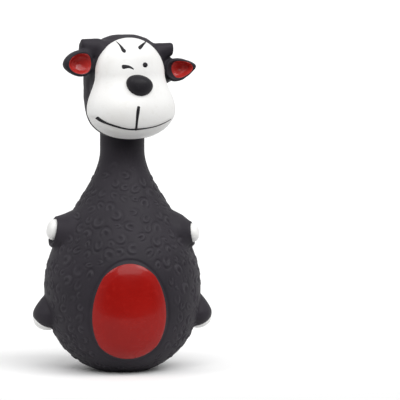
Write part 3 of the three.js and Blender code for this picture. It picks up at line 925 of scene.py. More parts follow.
@dataclass(frozen=True)
class HeadForm:
    """The head: a round hood, a flattened face form in front, and two blunt horns."""

    turn_angle: float = 9.0
    neck_top: float = 99.0
    hood_forward: float = 3.4
    hood_height: float = 29.0
    hood_half_width: float = 18.4
    hood_half_depth: float = 16.8
    hood_half_height: float = 23.2
    hood_squareness: float = 2.7
    face_forward: float = 14.3
    face_top: float = 51.3
    brow_height: float = 35.5
    brow_half_width: float = 16.0
    muzzle_height: float = 19.5
    muzzle_half_width: float = 20.5
    chin_height: float = 6.0
    face_depth: float = 11.8
    brow_flatness: float = 0.2
    brow_soft: float = 6.0
    face_lean: float = 0.09
    crown_handle: float = 9.5
    brow_rise: float = 8.0
    brow_drop: float = 5.5
    muzzle_rise: float = 6.0
    muzzle_drop: float = 7.0
    chin_handle: float = 13.5
    core_inset: float = 1.0
    core_soft: float = 1.5
    horn_forward: float = 8.0
    horn_top: float = 49.7
    horn_droop: float = 1.3
    horn_sink: float = 3.0
    horn_sink_share: float = 0.5
    horn_rings: tuple[float, ...] = (0, 0.15, 0.3, 0.5, 0.96)
    horn_tip_share: float = 0.8
    horn_steps: int = 32
    horn_root: float = 5.0
    horn_end: float = 21.2
    horn_root_half: Range = (5.0, 6.5)
    horn_end_half: Range = (2.5, 2.9)
    fineness: int = 44
    steps: int = 96

    def place(self) -> Matrix:
        """The move from head coordinates to the toy's frame."""
        return shift(0, 0, self.neck_top) @ turn(self.turn_angle, "Z")

    def outline(self) -> list[Vector]:
        """The face's half outline from the chin up.

        Returns:
            Points with the half width in X and the height in Z.
        """
        muzzle, brow = self.muzzle_half_width, self.brow_half_width
        low, high = self.muzzle_height, self.brow_height
        chin, top = self.chin_height, self.face_top
        cheek, temple = (muzzle, low), (brow, high)
        return curve_points(
            [
                [(0, chin), (self.chin_handle, chin), (muzzle, low - self.muzzle_drop), cheek],
                [cheek, (muzzle, low + self.muzzle_rise), (brow, high - self.brow_drop), temple],
                [temple, (brow, high + self.brow_rise), (self.crown_handle, top), (0, top)],
            ],
            self.fineness,
        )

    def flatten(self, form: BMesh) -> BMesh:
        """Gives a round form of the face's outline its depth, less at the brow, and its lean back.

        Args:
            form: The form, which is changed.

        Returns:
            The same form.
        """
        for vert in form.verts:
            share = smoothstep(self.muzzle_height, self.brow_height + self.brow_soft, vert.co.z)
            vert.co.y *= self.face_depth / self.muzzle_half_width * (1 - self.brow_flatness * share)
            vert.co.y += self.back_at(vert.co.z)
        return form

    def back_at(self, height: float) -> float:
        """How far the leaning face lies behind its upright plane at a height."""
        return self.face_lean * (height - self.muzzle_height)

    def hood(self) -> BMesh:
        """The round back of the head.

        Returns:
            The hood, in head coordinates.
        """
        form = ball(1, 1, 1, self.steps)
        power = self.hood_squareness
        for vert in form.verts:
            across = math.hypot(vert.co.x, vert.co.z)
            if across > MERGE:
                square = (abs(vert.co.x / across) ** power + abs(vert.co.z / across) ** power) ** (-1 / power)
                vert.co.x *= square
                vert.co.z *= square
        halves = (self.hood_half_width, self.hood_half_depth, self.hood_half_height)
        bmesh.ops.scale(form, vec=halves, verts=form.verts)
        return moved(form, shift(0, -self.hood_forward, self.hood_height))

    def core(self) -> BMesh:
        """The black form under the white face, set in a little at the front.

        Returns:
            The form, in head coordinates.
        """
        form = spun([(point.x, point.z) for point in self.outline()], self.steps)
        self.flatten(form).normal_update()
        for vert in form.verts:
            ahead = self.back_at(vert.co.z) - vert.co.y
            vert.co -= vert.normal * (self.core_inset * smoothstep(0.0, self.core_soft, ahead))
        return moved(form, shift(0, -self.face_forward, 0))

    def horn(self, side: Side) -> BMesh:
        """A blunt horn beside the crown, level on top and deeper at its root.

        Args:
            side: The horn's side.

        Returns:
            The horn, in head coordinates.
        """
        rings = [(1, ring) for ring in self.horn_rings]
        form = spun([(0, 0), *rings, (self.horn_tip_share, 1), (0, 1)], self.horn_steps)
        top = self.horn_top - side.value * self.horn_droop
        for vert in form.verts:
            share = vert.co.z
            deep, high = (a + (b - a) * share for a, b in zip(self.horn_root_half, self.horn_end_half))
            out = self.horn_root + (self.horn_end - self.horn_root) * share
            level = top - self.horn_sink * (1 - smoothstep(0.0, self.horn_sink_share, share))
            vert.co = Vector(
                (side.value * out, vert.co.y * deep - self.horn_forward, level + high * (vert.co.x - 1))
            )
        bmesh.ops.recalc_face_normals(form, faces=form.faces)
        return form


@dataclass(frozen=True)
class EarShape:
    """What the two ears, modelled by hand, don't share."""

    out: float
    height: float
    roll: float
    taper: float
    narrow: float
    root_height: float
    root_length: float
    root_radius: float
    root_end_radius: float
    paint_out: float
    paint_length: float


@dataclass(frozen=True)
class EarForm:
    """An ear: a thick oval dish that grows out of the hood on a flared root."""

    head: HeadForm
    left: EarShape = EarShape(
        out=24.1, height=36.8, roll=11.0, taper=0.42, narrow=0.84, root_height=36.3, root_length=14.5,
        root_radius=10.0, root_end_radius=3.6, paint_out=0.9, paint_length=5.0,
    )
    right: EarShape = EarShape(
        out=23.4, height=40.2, roll=0.0, taper=0.22, narrow=1.0, root_height=42.7, root_length=11.0,
        root_radius=6.8, root_end_radius=6.2, paint_out=0.0, paint_length=5.9,
    )
    forward: float = 10.5
    middle_height: float = 38.5
    half_length: float = 7.2
    half_depth: float = 4.2
    half_height: float = 5.8
    back_angles: tuple[float, ...] = (0.3, 0.6, 0.9, 1.2, 1.45)
    rim: Profile = ((1.0, 0.25), (0.965, 0.5), (0.9, 0.64), (0.83, 0.66))
    cup_share: float = 0.78
    cup_top_share: float = 0.58
    cup_bottom: float = -2.8
    cup_bend: float = 1.8
    cup_rings: tuple[float, ...] = (1.0, 0.93, 0.8, 0.6, 0.4, 0.2, 0.0)
    lean: float = 14.0
    root_start: float = 10.5
    root_forward: float = 6.4
    root_thin: float = 0.36
    root_steps: int = 48
    paint_share: float = 0.82
    paint_lift: float = 0.14
    paint_cuts: int = 40
    steps: int = 64

    def shape(self, side: Side) -> EarShape:
        """One ear's own values."""
        return self.left if side is Side.LEFT else self.right

    def place(self, side: Side) -> list[Matrix]:
        """Moves that put a dish facing +Z onto the head as an ear, in head coordinates.

        Args:
            side: The ear's side.

        Returns:
            The moves in order.
        """
        own = self.shape(side)
        return [
            turn(side.value * own.roll, "Z"), turn(90, "X"), turn(-side.value * self.lean, "Z"),
            shift(side.value * own.out, -self.forward, own.height),
        ]

    def narrowed(self, form: BMesh, side: Side) -> BMesh:
        """The form in the XY plane, narrowed towards the ear's tip.

        Args:
            form: The form, which is changed.
            side: The ear's side.

        Returns:
            The same form.
        """
        own = self.shape(side)
        for vert in form.verts:
            vert.co.y *= own.narrow * (1 - own.taper * side.value * vert.co.x / self.half_length)
        return form

    def in_cup(self, spot: Vector, side: Side) -> bool:
        """Whether a spot lies in front of an ear's plane and inside its rim.

        Args:
            spot: The spot, in head coordinates.
            side: The ear's side.

        Returns:
            True if it does.
        """
        across = (side.value * spot.x - self.shape(side).out) / self.half_length
        up = (spot.z - self.shape(side).height) / self.half_height
        return spot.y < -self.forward and math.hypot(across, up) < 1.0

    def dish(self, side: Side) -> BMesh:
        """The closed oval dish.

        Args:
            side: The ear's side.

        Returns:
            The dish, in head coordinates.
        """
        deep, cup = self.half_depth, self.cup_bottom
        cup_depth = self.cup_top_share * deep - cup
        back = [(math.sin(angle), -deep * math.cos(angle)) for angle in self.back_angles]
        rim = [(out, share * deep) for out, share in self.rim]
        hollow = [(self.cup_share * ring, cup + cup_depth * ring**self.cup_bend) for ring in self.cup_rings]
        form = spun([(0.0, -deep), *back, *rim, *hollow], self.steps)
        bmesh.ops.scale(form, vec=(self.half_length, self.half_height, 1), verts=form.verts)
        return moved(self.narrowed(form, side), *self.place(side))

    def root(self, side: Side) -> BMesh:
        """The flared root between the hood and the dish.

        Args:
            side: The ear's side.

        Returns:
            The root, in head coordinates.
        """
        own, start = self.shape(side), self.root_start
        end = start + own.root_length
        profile = [(0, start), (own.root_radius, start), (own.root_end_radius, end), (0, end)]
        form = spun(profile, self.root_steps)
        bmesh.ops.scale(form, vec=(1, self.root_thin, 1), verts=form.verts)
        return moved(form, turn(side.value * 90, "Y"), shift(0, -self.root_forward, own.root_height))

    def paint(self, side: Side, surface: BVHTree) -> BMesh:
        """The red inside of the ear, laid onto the cast dish.

        Args:
            side: The ear's side.
            surface: The cast skin.

        Returns:
            The closed layer of paint, in the toy's frame.
        """
        own, to_frame = self.shape(side), self.head.place()
        form = disc(own.paint_length, self.half_height * self.paint_share, self.paint_cuts)
        moved(form, shift(side.value * own.paint_out, 0, 0))
        moved(self.narrowed(form, side), *self.place(side), to_frame)
        axis = to_frame.to_3x3() @ (turn(-side.value * self.lean, "Z").to_3x3() @ BACKWARD)
        lay_on(form, surface, axis, self.paint_lift)
        return form


@dataclass(frozen=True)
class Curl:
    """One curl of the wool: a hooked ridge between a dimple and a moat, pressed into the skin."""

    centre: Vector
    along: Vector
    across: Vector
    radius: float
    squash: float
    span: float
    width: float
    strength: float

    def relief(self, point: Vector, wool: "Wool") -> tuple[float, float]:
        """The curl's ridge and hollows at a point of the skin.

        Args:
            point: The point.
            wool: The pattern that the curl belongs to.

        Returns:
            The ridge's rise and the hollows' depth, over the bare skin.
        """
        away = point - self.centre
        u, v = away.dot(self.along), away.dot(self.across) / self.squash
        out, angle = math.hypot(u, v), abs(math.atan2(v, u))
        ring = wool.ring_share * self.radius
        past = smoothstep(self.span - wool.span_soft, self.span + wool.span_soft, angle)
        hook = bell(out - ring, self.width) * (1 - past)
        tip = Vector((u - ring * math.cos(self.span), v - ring * math.sin(self.span)))
        hook = max(hook, wool.tip_share * bell(tip.length, wool.tip_width))
        inside = math.hypot(u + wool.dimple_back * ring, v)
        dimple = wool.dimple_depth * bell(inside, wool.dimple_share * self.radius)
        around = 0.5 + 0.5 * math.cos(angle)
        moat = wool.moat_depth * around * bell(out - wool.moat_share * self.radius, self.width)
        return self.strength * wool.hook_height * hook, self.strength * max(dimple, moat)


@dataclass(frozen=True)
class Wool:
    """The pattern of curls that is cast into the trunk."""

    spacing: float = 7.9
    scatter: float = 0.14
    radii: Range = (2.4, 3.2)
    squashes: Range = (0.55, 1.0)
    spans: Range = (1.1, 2.5)
    widths: Range = (0.42, 0.62)
    strengths: Range = (0.6, 1.1)
    between: float = 4.7
    lesser: float = 0.72
    reach_share: float = 1.9
    ring_share: float = 0.6
    span_soft: float = 0.3
    hook_height: float = 0.28
    tip_width: float = 0.62
    tip_share: float = 1.1
    dimple_share: float = 0.34
    dimple_back: float = 0.35
    dimple_depth: float = 0.38
    moat_share: float = 1.08
    moat_depth: float = 0.38
    fade_start: float = 86.0
    fade_end: float = 95.0
    seed: int = 11

    def spots(self, wall: Sequence[Vector]) -> list[tuple[float, float, float]]:
        """Spreads the main curls over the trunk along a spiral, each with the same share of its area.

        Args:
            wall: The trunk's outline from the standing ring up.

        Returns:
            Height, angle about the trunk's axis and the curl's own turn of each curl.
        """
        share = self.spacing**2 * math.sin(math.pi / 3)
        stray = self.scatter * self.spacing
        spots: list[tuple[float, float, float]] = []
        area = 0.0
        for low, high in zip(wall, wall[1:]):
            strip = math.pi * (low.x + high.x) * (high - low).length
            while len(spots) * share < area + strip:
                index = len(spots)
                even = low.z + (high.z - low.z) * (index * share - area) / strip
                height = even + stray * (2 * (index * math.sqrt(2) % 1) - 1)
                aside = stray * (2 * (index * math.sqrt(3) % 1) - 1)
                angle = index * math.pi * (3 - math.sqrt(5)) + aside / max(reach_at(wall, height), 1.0)
                spots.append((height, angle, math.tau * (index * math.sqrt(7) % 1)))
            area += strip
        return spots

    def curl(self, centre: Vector, normal: Vector, own_turn: float, size: float, dice: random.Random) -> Curl:
        """One curl with a shape of its own.

        Args:
            centre: Its middle on the skin.
            normal: The way that the skin faces there.
            own_turn: Its turn on the skin.
            size: Its size over that of a main curl.
            dice: Draws its shape.

        Returns:
            The curl.
        """
        level = Vector((0, 0, 1)).cross(normal).normalized()
        along = Matrix.Rotation(own_turn, 3, normal) @ level.cross(normal)
        fade = 1 - smoothstep(self.fade_start, self.fade_end, centre.z)
        return Curl(
            centre, along, normal.cross(along),
            radius=size * dice.uniform(*self.radii),
            squash=dice.uniform(*self.squashes),
            span=dice.uniform(*self.spans),
            width=dice.uniform(*self.widths),
            strength=fade * dice.uniform(*self.strengths),
        )

    def curls(self, form: BMesh, wall: Sequence[Vector], allowed: Callable[[Vector], bool]) -> list[Curl]:
        """Sets the main curls on the skin, and lesser ones where there is room between them.

        Args:
            form: The cast skin.
            wall: The trunk's outline from the standing ring up.
            allowed: Says whether a curl may sit at a point.

        Returns:
            The curls.
        """
        dice = random.Random(self.seed)
        surface = BVHTree.FromBMesh(form)
        curls: list[Curl] = []
        for height, angle, own_turn in self.spots(wall):
            radius = reach_at(wall, height)
            spot = Vector((radius * math.cos(angle), radius * math.sin(angle), height))
            centre, normal, _, _ = surface.find_nearest(spot)
            if allowed(centre):
                curls.append(self.curl(centre, normal, own_turn, 1.0, dice))
        taken: dict[tuple[int, ...], list[Vector]] = {}
        for curl in curls:
            taken.setdefault(self.cell(curl.centre), []).append(curl.centre)
        verts = list(form.verts)
        dice.shuffle(verts)
        for vert in verts:
            x, y, z = self.cell(vert.co)
            near = (
                other
                for i in (x - 1, x, x + 1) for j in (y - 1, y, y + 1) for k in (z - 1, z, z + 1)
                for other in taken.get((i, j, k), ())
            )
            if allowed(vert.co) and all((other - vert.co).length > self.between for other in near):
                centre, own_turn = vert.co.copy(), dice.uniform(0, math.tau)
                taken.setdefault((x, y, z), []).append(centre)
                curls.append(self.curl(centre, vert.normal, own_turn, self.lesser, dice))
        return curls

    def cell(self, point: Vector) -> tuple[int, ...]:
        """The cell of a coarse grid that a point lies in."""
        return tuple(math.floor(value / self.between) for value in point)


@dataclass(frozen=True)
class BellyForm:
    """The belly: a moulded oval pad with a groove around it, painted red."""

    half_width: float = 17.2
    half_height: float = 22.8
    height: float = 29.5
    aside: float = -0.25
    taper: float = 0.07
    groove_gap: float = 0.5
    groove_rise: float = 0.1
    groove_depth: float = 0.36
    groove_width: float = 0.55
    pad_rise: float = 0.7
    pad_shoulder: float = 6.0
    pad_soft: float = 0.4
    middle_share: float = 0.05
    clear: float = 3.6
    paint_lift: float = 0.2
    cuts: int = 72

    def beyond_groove(self, point: Vector) -> float:
        """A point's distance outside the groove's oval, seen from the front.

        Args:
            point: A point of the skin.

        Returns:
            The distance, below 0 inside the oval.
        """
        x, z = point.x - self.aside, point.z - self.height - self.groove_rise
        high = self.half_height + self.groove_gap
        wide = (self.half_width + self.groove_gap) * (1 - self.taper * max(-1.0, min(1.0, z / high)))
        share = math.hypot(x / wide, z / high)
        return math.hypot(x, z) * (1 - 1 / share) if share > self.middle_share else -self.half_width

    def rise(self, point: Vector) -> float:
        """How far the pad and its groove move the skin outwards at a point.

        Args:
            point: A point of the skin.

        Returns:
            The move along the skin's normal.
        """
        if point.y > 0:
            return 0.0
        away = self.beyond_groove(point)
        pad = self.pad_rise * (1 - smoothstep(-self.pad_shoulder, self.pad_soft, away))
        return pad - self.groove_depth * bell(away, self.groove_width)

    def paint(self, surface: BVHTree) -> BMesh:
        """The red oval, laid onto the cast pad.

        Args:
            surface: The cast skin.

        Returns:
            The closed layer of paint, in the toy's frame.
        """
        form = disc(self.half_width, self.half_height, self.cuts)
        for vert in form.verts:
            vert.co.x *= 1 - self.taper * vert.co.y / self.half_height
        moved(form, turn(90, "X"), shift(self.aside, -FAR / 2, self.height))
        lay_on(form, surface, BACKWARD, self.paint_lift)
        return form


@dataclass
class LatexSkin:
    """The black skin, cast in one and cut where it bends, with its red paint."""

    finishes: Finishes
    bottle: BottleForm = field(default_factory=BottleForm)
    head: HeadForm = field(default_factory=HeadForm)
    belly: BellyForm = field(default_factory=BellyForm)
    wool: Wool = field(default_factory=Wool)
    voxel: float = 0.45
    smoothing: int = 5
    smoothing_factor: float = 0.5
    uneven: float = 0.16
    uneven_size: float = 4.0
    uneven_layers: tuple[float, float, int] = (1.0, 2.0, 2)
    wool_floor: float = 2.5
    wool_reach: float = 0.35
    web_floor: float = 126.0
    web_passes: int = 3
    web_steps: int = 40
    shoulder_cut: float = 77.5
    neck_cut: float = 92.0
    head_cut: float = 103.0
    bend_inset: float = 0.4
    press_start: float = 18.6
    press_end: float = 35.2
    ear_cut_out: float = 18.6
    ear_cut_slope: float = 6.0
    ear_cut_floor: float = 127.0
    ear_bend: float = 6.5

    def __post_init__(self) -> None:
        """Makes the forms that stand on the others, and the ears' partings."""
        self.arm = ArmForm(self.bottle)
        self.foot = FootForm(self.bottle)
        self.ear = EarForm(self.head)
        self.to_head = self.head.place().inverted()
        self.ear_planes = {side: self.ear_plane(side) for side in Side}

    def cast(self) -> BMesh:
        """All black forms in one skin, joined with soft fillets.

        Returns:
            The skin, in the toy's frame.
        """
        loose = self.bottle.build()
        for side in Side:
            put(loose, self.arm.sleeve(side))
            put(loose, self.foot.mound(side))
        on_head = [self.head.hood(), self.head.core()]
        for side in Side:
            on_head += [self.head.horn(side), self.ear.root(side), self.ear.dish(side)]
        for form in on_head:
            put(loose, moved(form, self.head.place()))
        mesh = meshed("casting", loose)
        casting = placed("casting", mesh)
        union = casting.modifiers.new("union", "REMESH")
        union.mode, union.voxel_size = "VOXEL", self.voxel
        fillet = casting.modifiers.new("fillet", "SMOOTH")
        fillet.factor, fillet.iterations = self.smoothing_factor, self.smoothing
        shaped = bpy.data.meshes.new_from_object(casting.evaluated_get(bpy.context.evaluated_depsgraph_get()))
        skin = bmesh.new()
        skin.from_mesh(shaped)
        bpy.data.objects.remove(casting)
        for spent in (mesh, shaped):
            bpy.data.meshes.remove(spent)
        skin.normal_update()
        for _ in range(self.web_passes):
            self.fill_hollows(skin)
        return skin

    def webbed(self, point: Vector) -> bool:
        """Whether the hollow at a point fills: round horns and ears, not in the cups.

        Args:
            point: A point of the skin, in the toy's frame.

        Returns:
            True if it fills.
        """
        if point.z < self.web_floor:
            return False
        spot = self.to_head @ point
        return not any(self.ear.in_cup(spot, side) for side in Side)

    def fill_hollows(self, skin: BMesh) -> None:
        """Fills the hollow corners between hood, horns and ears with soft webs.

        Args:
            skin: The cast skin, which is changed.
        """
        skin.verts.index_update()
        chosen = np.array([self.webbed(vert.co) for vert in skin.verts])
        spots = np.array([vert.co for vert in skin.verts])
        normals = np.array([vert.normal for vert in skin.verts])
        pairs = np.array([[vert.index for vert in edge.verts] for edge in skin.edges])
        pairs = pairs[chosen[pairs].any(axis=1)]
        ends, others = np.concatenate([pairs, pairs[:, ::-1]]).T
        count = np.maximum(np.bincount(ends, minlength=len(spots)), 1)
        for _ in range(self.web_steps):
            sums = [np.bincount(ends, spots[others, axis], len(spots)) for axis in range(3)]
            pull = np.stack(sums, axis=1) / count[:, None] - spots
            hollow = chosen & ((pull * normals).sum(axis=1) > 0)
            spots[hollow] += pull[hollow] / 2
        for vert in skin.verts:
            if chosen[vert.index]:
                vert.co = spots[vert.index]
        skin.normal_update()

    def woolly(self, point: Vector) -> bool:
        """Whether a curl may sit at a point: on the trunk, clear of limbs, belly, base and neck.

        Args:
            point: A point of the skin.

        Returns:
            True if it may.
        """
        if not self.wool_floor < point.z < self.wool.fade_end:
            return False
        if point.y < 0 and self.belly.beyond_groove(point) < self.belly.clear:
            return False
        arm, foot = self.arm, self.foot
        for height, clear in ((arm.middle_height, arm.clear), (foot.height + foot.clear_rise, foot.clear)):
            if abs(point.x) > arm.root_depth and math.hypot(point.y, point.z - height) < clear:
                return False
        return abs(math.hypot(point.x, point.y) - self.bottle.radius_at(point.z)) < self.wool_reach

    def emboss(self, skin: BMesh) -> None:
        """Raises the wool and the belly's pad on the cast skin.

        Args:
            skin: The cast skin, which is changed.
        """
        curls = self.wool.curls(skin, self.bottle.wall, self.woolly)
        log.info("set %d curls", len(curls))
        tree = KDTree(len(curls))
        for index, curl in enumerate(curls):
            tree.insert(curl.centre, index)
        tree.balance()
        layer = skin.verts.layers.float.new(CURL_LAYER)
        reach = self.wool.reach_share * self.wool.radii[1]
        for vert in skin.verts:
            near = tree.find_range(vert.co, reach) if vert.co.z < self.head_cut else ()
            reliefs = [curls[index].relief(vert.co, self.wool) for _, index, _ in near]
            hook = max((relief[0] for relief in reliefs), default=0.0)
            moat = max((relief[1] for relief in reliefs), default=0.0)
            # The ridge height feeds the black finish, which paints the ridges paler as wear and as a painted
            # highlight.
            vert[layer] = hook / self.wool.hook_height
            rise = hook - moat + (self.belly.rise(vert.co) if vert.co.z < self.shoulder_cut else 0.0)
            uneven = noise.fractal(vert.co / self.uneven_size, *self.uneven_layers)
            rise += self.uneven * uneven * smoothstep(self.neck_cut, self.web_floor, vert.co.z)
            vert.co += vert.normal * rise
        skin.normal_update()

    def ear_plane(self, side: Side) -> tuple[Vector, Vector]:
        """The plane that parts an ear from the hood.

        Args:
            side: The ear's side.

        Returns:
            A point of the plane, and its outward normal.
        """
        place = self.head.place()
        tilt = math.radians(self.ear_cut_slope)
        normal = place.to_3x3() @ Vector((side.value * math.cos(tilt), 0, math.sin(tilt)))
        point = place @ Vector((side.value * self.ear_cut_out, -self.ear.forward, self.ear.middle_height))
        return point, normal

    def cut(self, skin: BMesh) -> None:
        """Cuts the skin's faces along every parting and keeps its normals for the pieces.

        Args:
            skin: The embossed skin, which is changed.
        """
        for height in (self.shoulder_cut, self.neck_cut, self.head_cut):
            bmesh.ops.bisect_plane(
                skin, geom=whole(skin), dist=MERGE, plane_co=(0, 0, height), plane_no=(0, 0, 1),
            )
        for side in Side:
            point, normal = self.ear_planes[side]
            faces = [face for face in skin.faces if face.calc_center_median().z > self.ear_cut_floor]
            edges = {edge for face in faces for edge in face.edges}
            verts = {vert for face in faces for vert in face.verts}
            bmesh.ops.bisect_plane(
                skin, geom=[*verts, *edges, *faces], dist=MERGE, plane_co=point, plane_no=normal,
            )
        skin.normal_update()
        layer = skin.verts.layers.float_vector.new(NORMAL_LAYER)
        for vert in skin.verts:
            vert[layer] = vert.normal

    def on_ear(self, point: Vector, side: Side) -> bool:
        """Whether a point of the skin lies beyond an ear's parting."""
        origin, normal = self.ear_planes[side]
        return point.z > self.ear_cut_floor and (point - origin).dot(normal) > 0

    def piece(self, skin: BMesh, name: str, keep: Callable[[Vector], bool]) -> Object:
        """One black piece of the cut skin, closed at its partings.

        Args:
            skin: The cut skin.
            name: The piece's name.
            keep: Says whether a face with this centre belongs to the piece.

        Returns:
            The piece.
        """
        form = skin.copy()
        other = [face for face in form.faces if not keep(face.calc_center_median())]
        bmesh.ops.delete(form, geom=other, context="FACES")
        return made_piece(name, closed(form), self.finishes.black)

    def between(self, low: float, high: float) -> Callable[[Vector], bool]:
        """A test for points from one height to another."""
        return lambda point: low <= point.z < high

    def bare_hood(self, point: Vector) -> bool:
        """Whether a point of the skin lies on the hood, short of both ears' partings."""
        return point.z >= self.head_cut and not any(self.on_ear(point, side) for side in Side)

    def press(self, piece: Object) -> None:
        """Lets a piece give way with the belly."""
        start, end = (0, -self.press_start * MM, 0), (0, -self.press_end * MM, 0)
        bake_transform(piece, Body.TRUNK.value, Body.BELLY.value, start=start, end=end)

    def bend(self, piece: Object, lower: Body, upper: Body, low: float, high: float) -> None:
        """Lets a piece bend from one body to the next between two heights."""
        start, end = (0, 0, (low + self.bend_inset) * MM), (0, 0, (high - self.bend_inset) * MM)
        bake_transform(piece, lower.value, upper.value, start=start, end=end)

    def flex(self, piece: Object, side: Side) -> None:
        """Lets a piece bend with an ear.

        Args:
            piece: The piece.
            side: The ear's side.
        """
        point, normal = self.ear_planes[side]
        body = Body.LEFT_EAR if side is Side.LEFT else Body.RIGHT_EAR
        end = point + normal * self.ear_bend
        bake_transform(piece, Body.HEAD.value, body.value, start=point * MM, end=end * MM)

    def dress(self) -> None:
        """Casts, embosses, cuts and paints the skin, and sets its pieces on their bodies."""
        skin = self.cast()
        self.emboss(skin)
        surface = BVHTree.FromBMesh(skin)
        self.cut(skin)
        foot, middle, top = self.shoulder_cut, self.neck_cut, self.head_cut
        wool = self.piece(skin, "wool_skin", self.between(-FAR, foot))
        self.press(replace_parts(wool, "trunk_skin"))
        shoulder = self.piece(skin, "shoulder_skin", self.between(foot, middle))
        self.bend(shoulder, Body.TRUNK, Body.NECK, foot, middle)
        neck = self.piece(skin, "upper_neck_skin", self.between(middle, top))
        self.bend(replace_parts(neck, "neck_skin"), Body.NECK, Body.HEAD, middle, top)
        hood = self.piece(skin, "hood_skin", self.bare_hood)
        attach(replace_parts(hood, "head_skin"), Body.HEAD.value)
        for side in Side:
            node = f"{side.label}_ear"
            ear = self.piece(skin, f"{node}_skin", lambda point: self.on_ear(point, side))
            self.flex(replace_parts(ear, node), side)
            # The lining takes the paler red, which stands in partly for light on the cup.
            form = self.ear.paint(side, surface)
            lining = made_piece(f"{node}_paint", form, self.finishes.ear_red)
            self.flex(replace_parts(lining, f"{node}_lining"), side)
        patch = made_piece("belly_paint", self.belly.paint(surface), self.finishes.red)
        self.press(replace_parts(patch, "belly_patch"))
        skin.free()


@dataclass
class Limbs:
    """The white hands and soles."""

    finishes: Finishes
    skin: LatexSkin

    def dress(self) -> None:
        """Makes both hands and both soles, and sets them on the trunk."""
        for side in Side:
            for label, form in (("hand", self.skin.arm.hand(side)), ("sole", self.skin.foot.sole(side))):
                node = f"{side.label}_{label}"
                piece = made_piece(f"{node}_paint", form, self.finishes.white)
                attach(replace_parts(piece, node), Body.TRUNK.value)


@dataclass(frozen=True)
class BrushStroke:
    """A stroke of thick black paint on the face."""

    node: str
    points: tuple[tuple[float, float, float], ...]
    crown: float = 0.22
    seated: float = 0.06
    full_width: float = 0.45
    cuts_along: int = 56
    cuts_across: int = 8
    length_steps: int = 40
    tangent_step: float = 0.01

    def spot_at(self, share: float) -> Vector:
        """The stroke's middle line at a share of its length, held within its ends."""
        return Vector(flowing(self.points, min(max(share, 0), 1))[:2])

    def width_at(self, share: float, length: float) -> float:
        """Half the stroke's width at a share of its length, rounded at both ends.

        Args:
            share: Place along the stroke, from 0 to 1.
            length: The stroke's length.

        Returns:
            The half width.
        """
        width = flowing(self.points, share)[2]
        to_end = min(share, 1 - share) * length
        if to_end >= width:
            return width
        return width * math.sqrt(max(0.0, 1 - (1 - to_end / width) ** 2))

    def build(self, surface: BVHTree) -> BMesh:
        """Lays the stroke onto the face.

        Args:
            surface: The face, in head coordinates.

        Returns:
            The stroke as a closed bead, in head coordinates.
        """
        form = bmesh.new()
        bmesh.ops.create_grid(form, x_segments=self.cuts_along, y_segments=self.cuts_across, size=0.5)
        line = [self.spot_at(step / self.length_steps) for step in range(self.length_steps + 1)]
        length = sum((b - a).length for a, b in zip(line, line[1:]))
        for vert in form.verts:
            share, v = vert.co.x + 0.5, 2 * vert.co.y
            ahead, behind = (self.spot_at(share + step) for step in (self.tangent_step, -self.tangent_step))
            along = (ahead - behind).normalized()
            width = self.width_at(share, length)
            spot = self.spot_at(share) + Vector((-along.y, along.x)) * (width * v)
            place, normal = landed(surface, Vector((spot.x, 0, spot.y)), BACKWARD)
            thick = min(1.0, width / self.full_width)
            vert.co = place + normal * (self.crown * thick * math.sqrt(max(0.0, 1 - v * v)) - self.seated)
        bmesh.ops.remove_doubles(form, verts=form.verts, dist=MERGE)
        return thickened(form, BACKWARD)


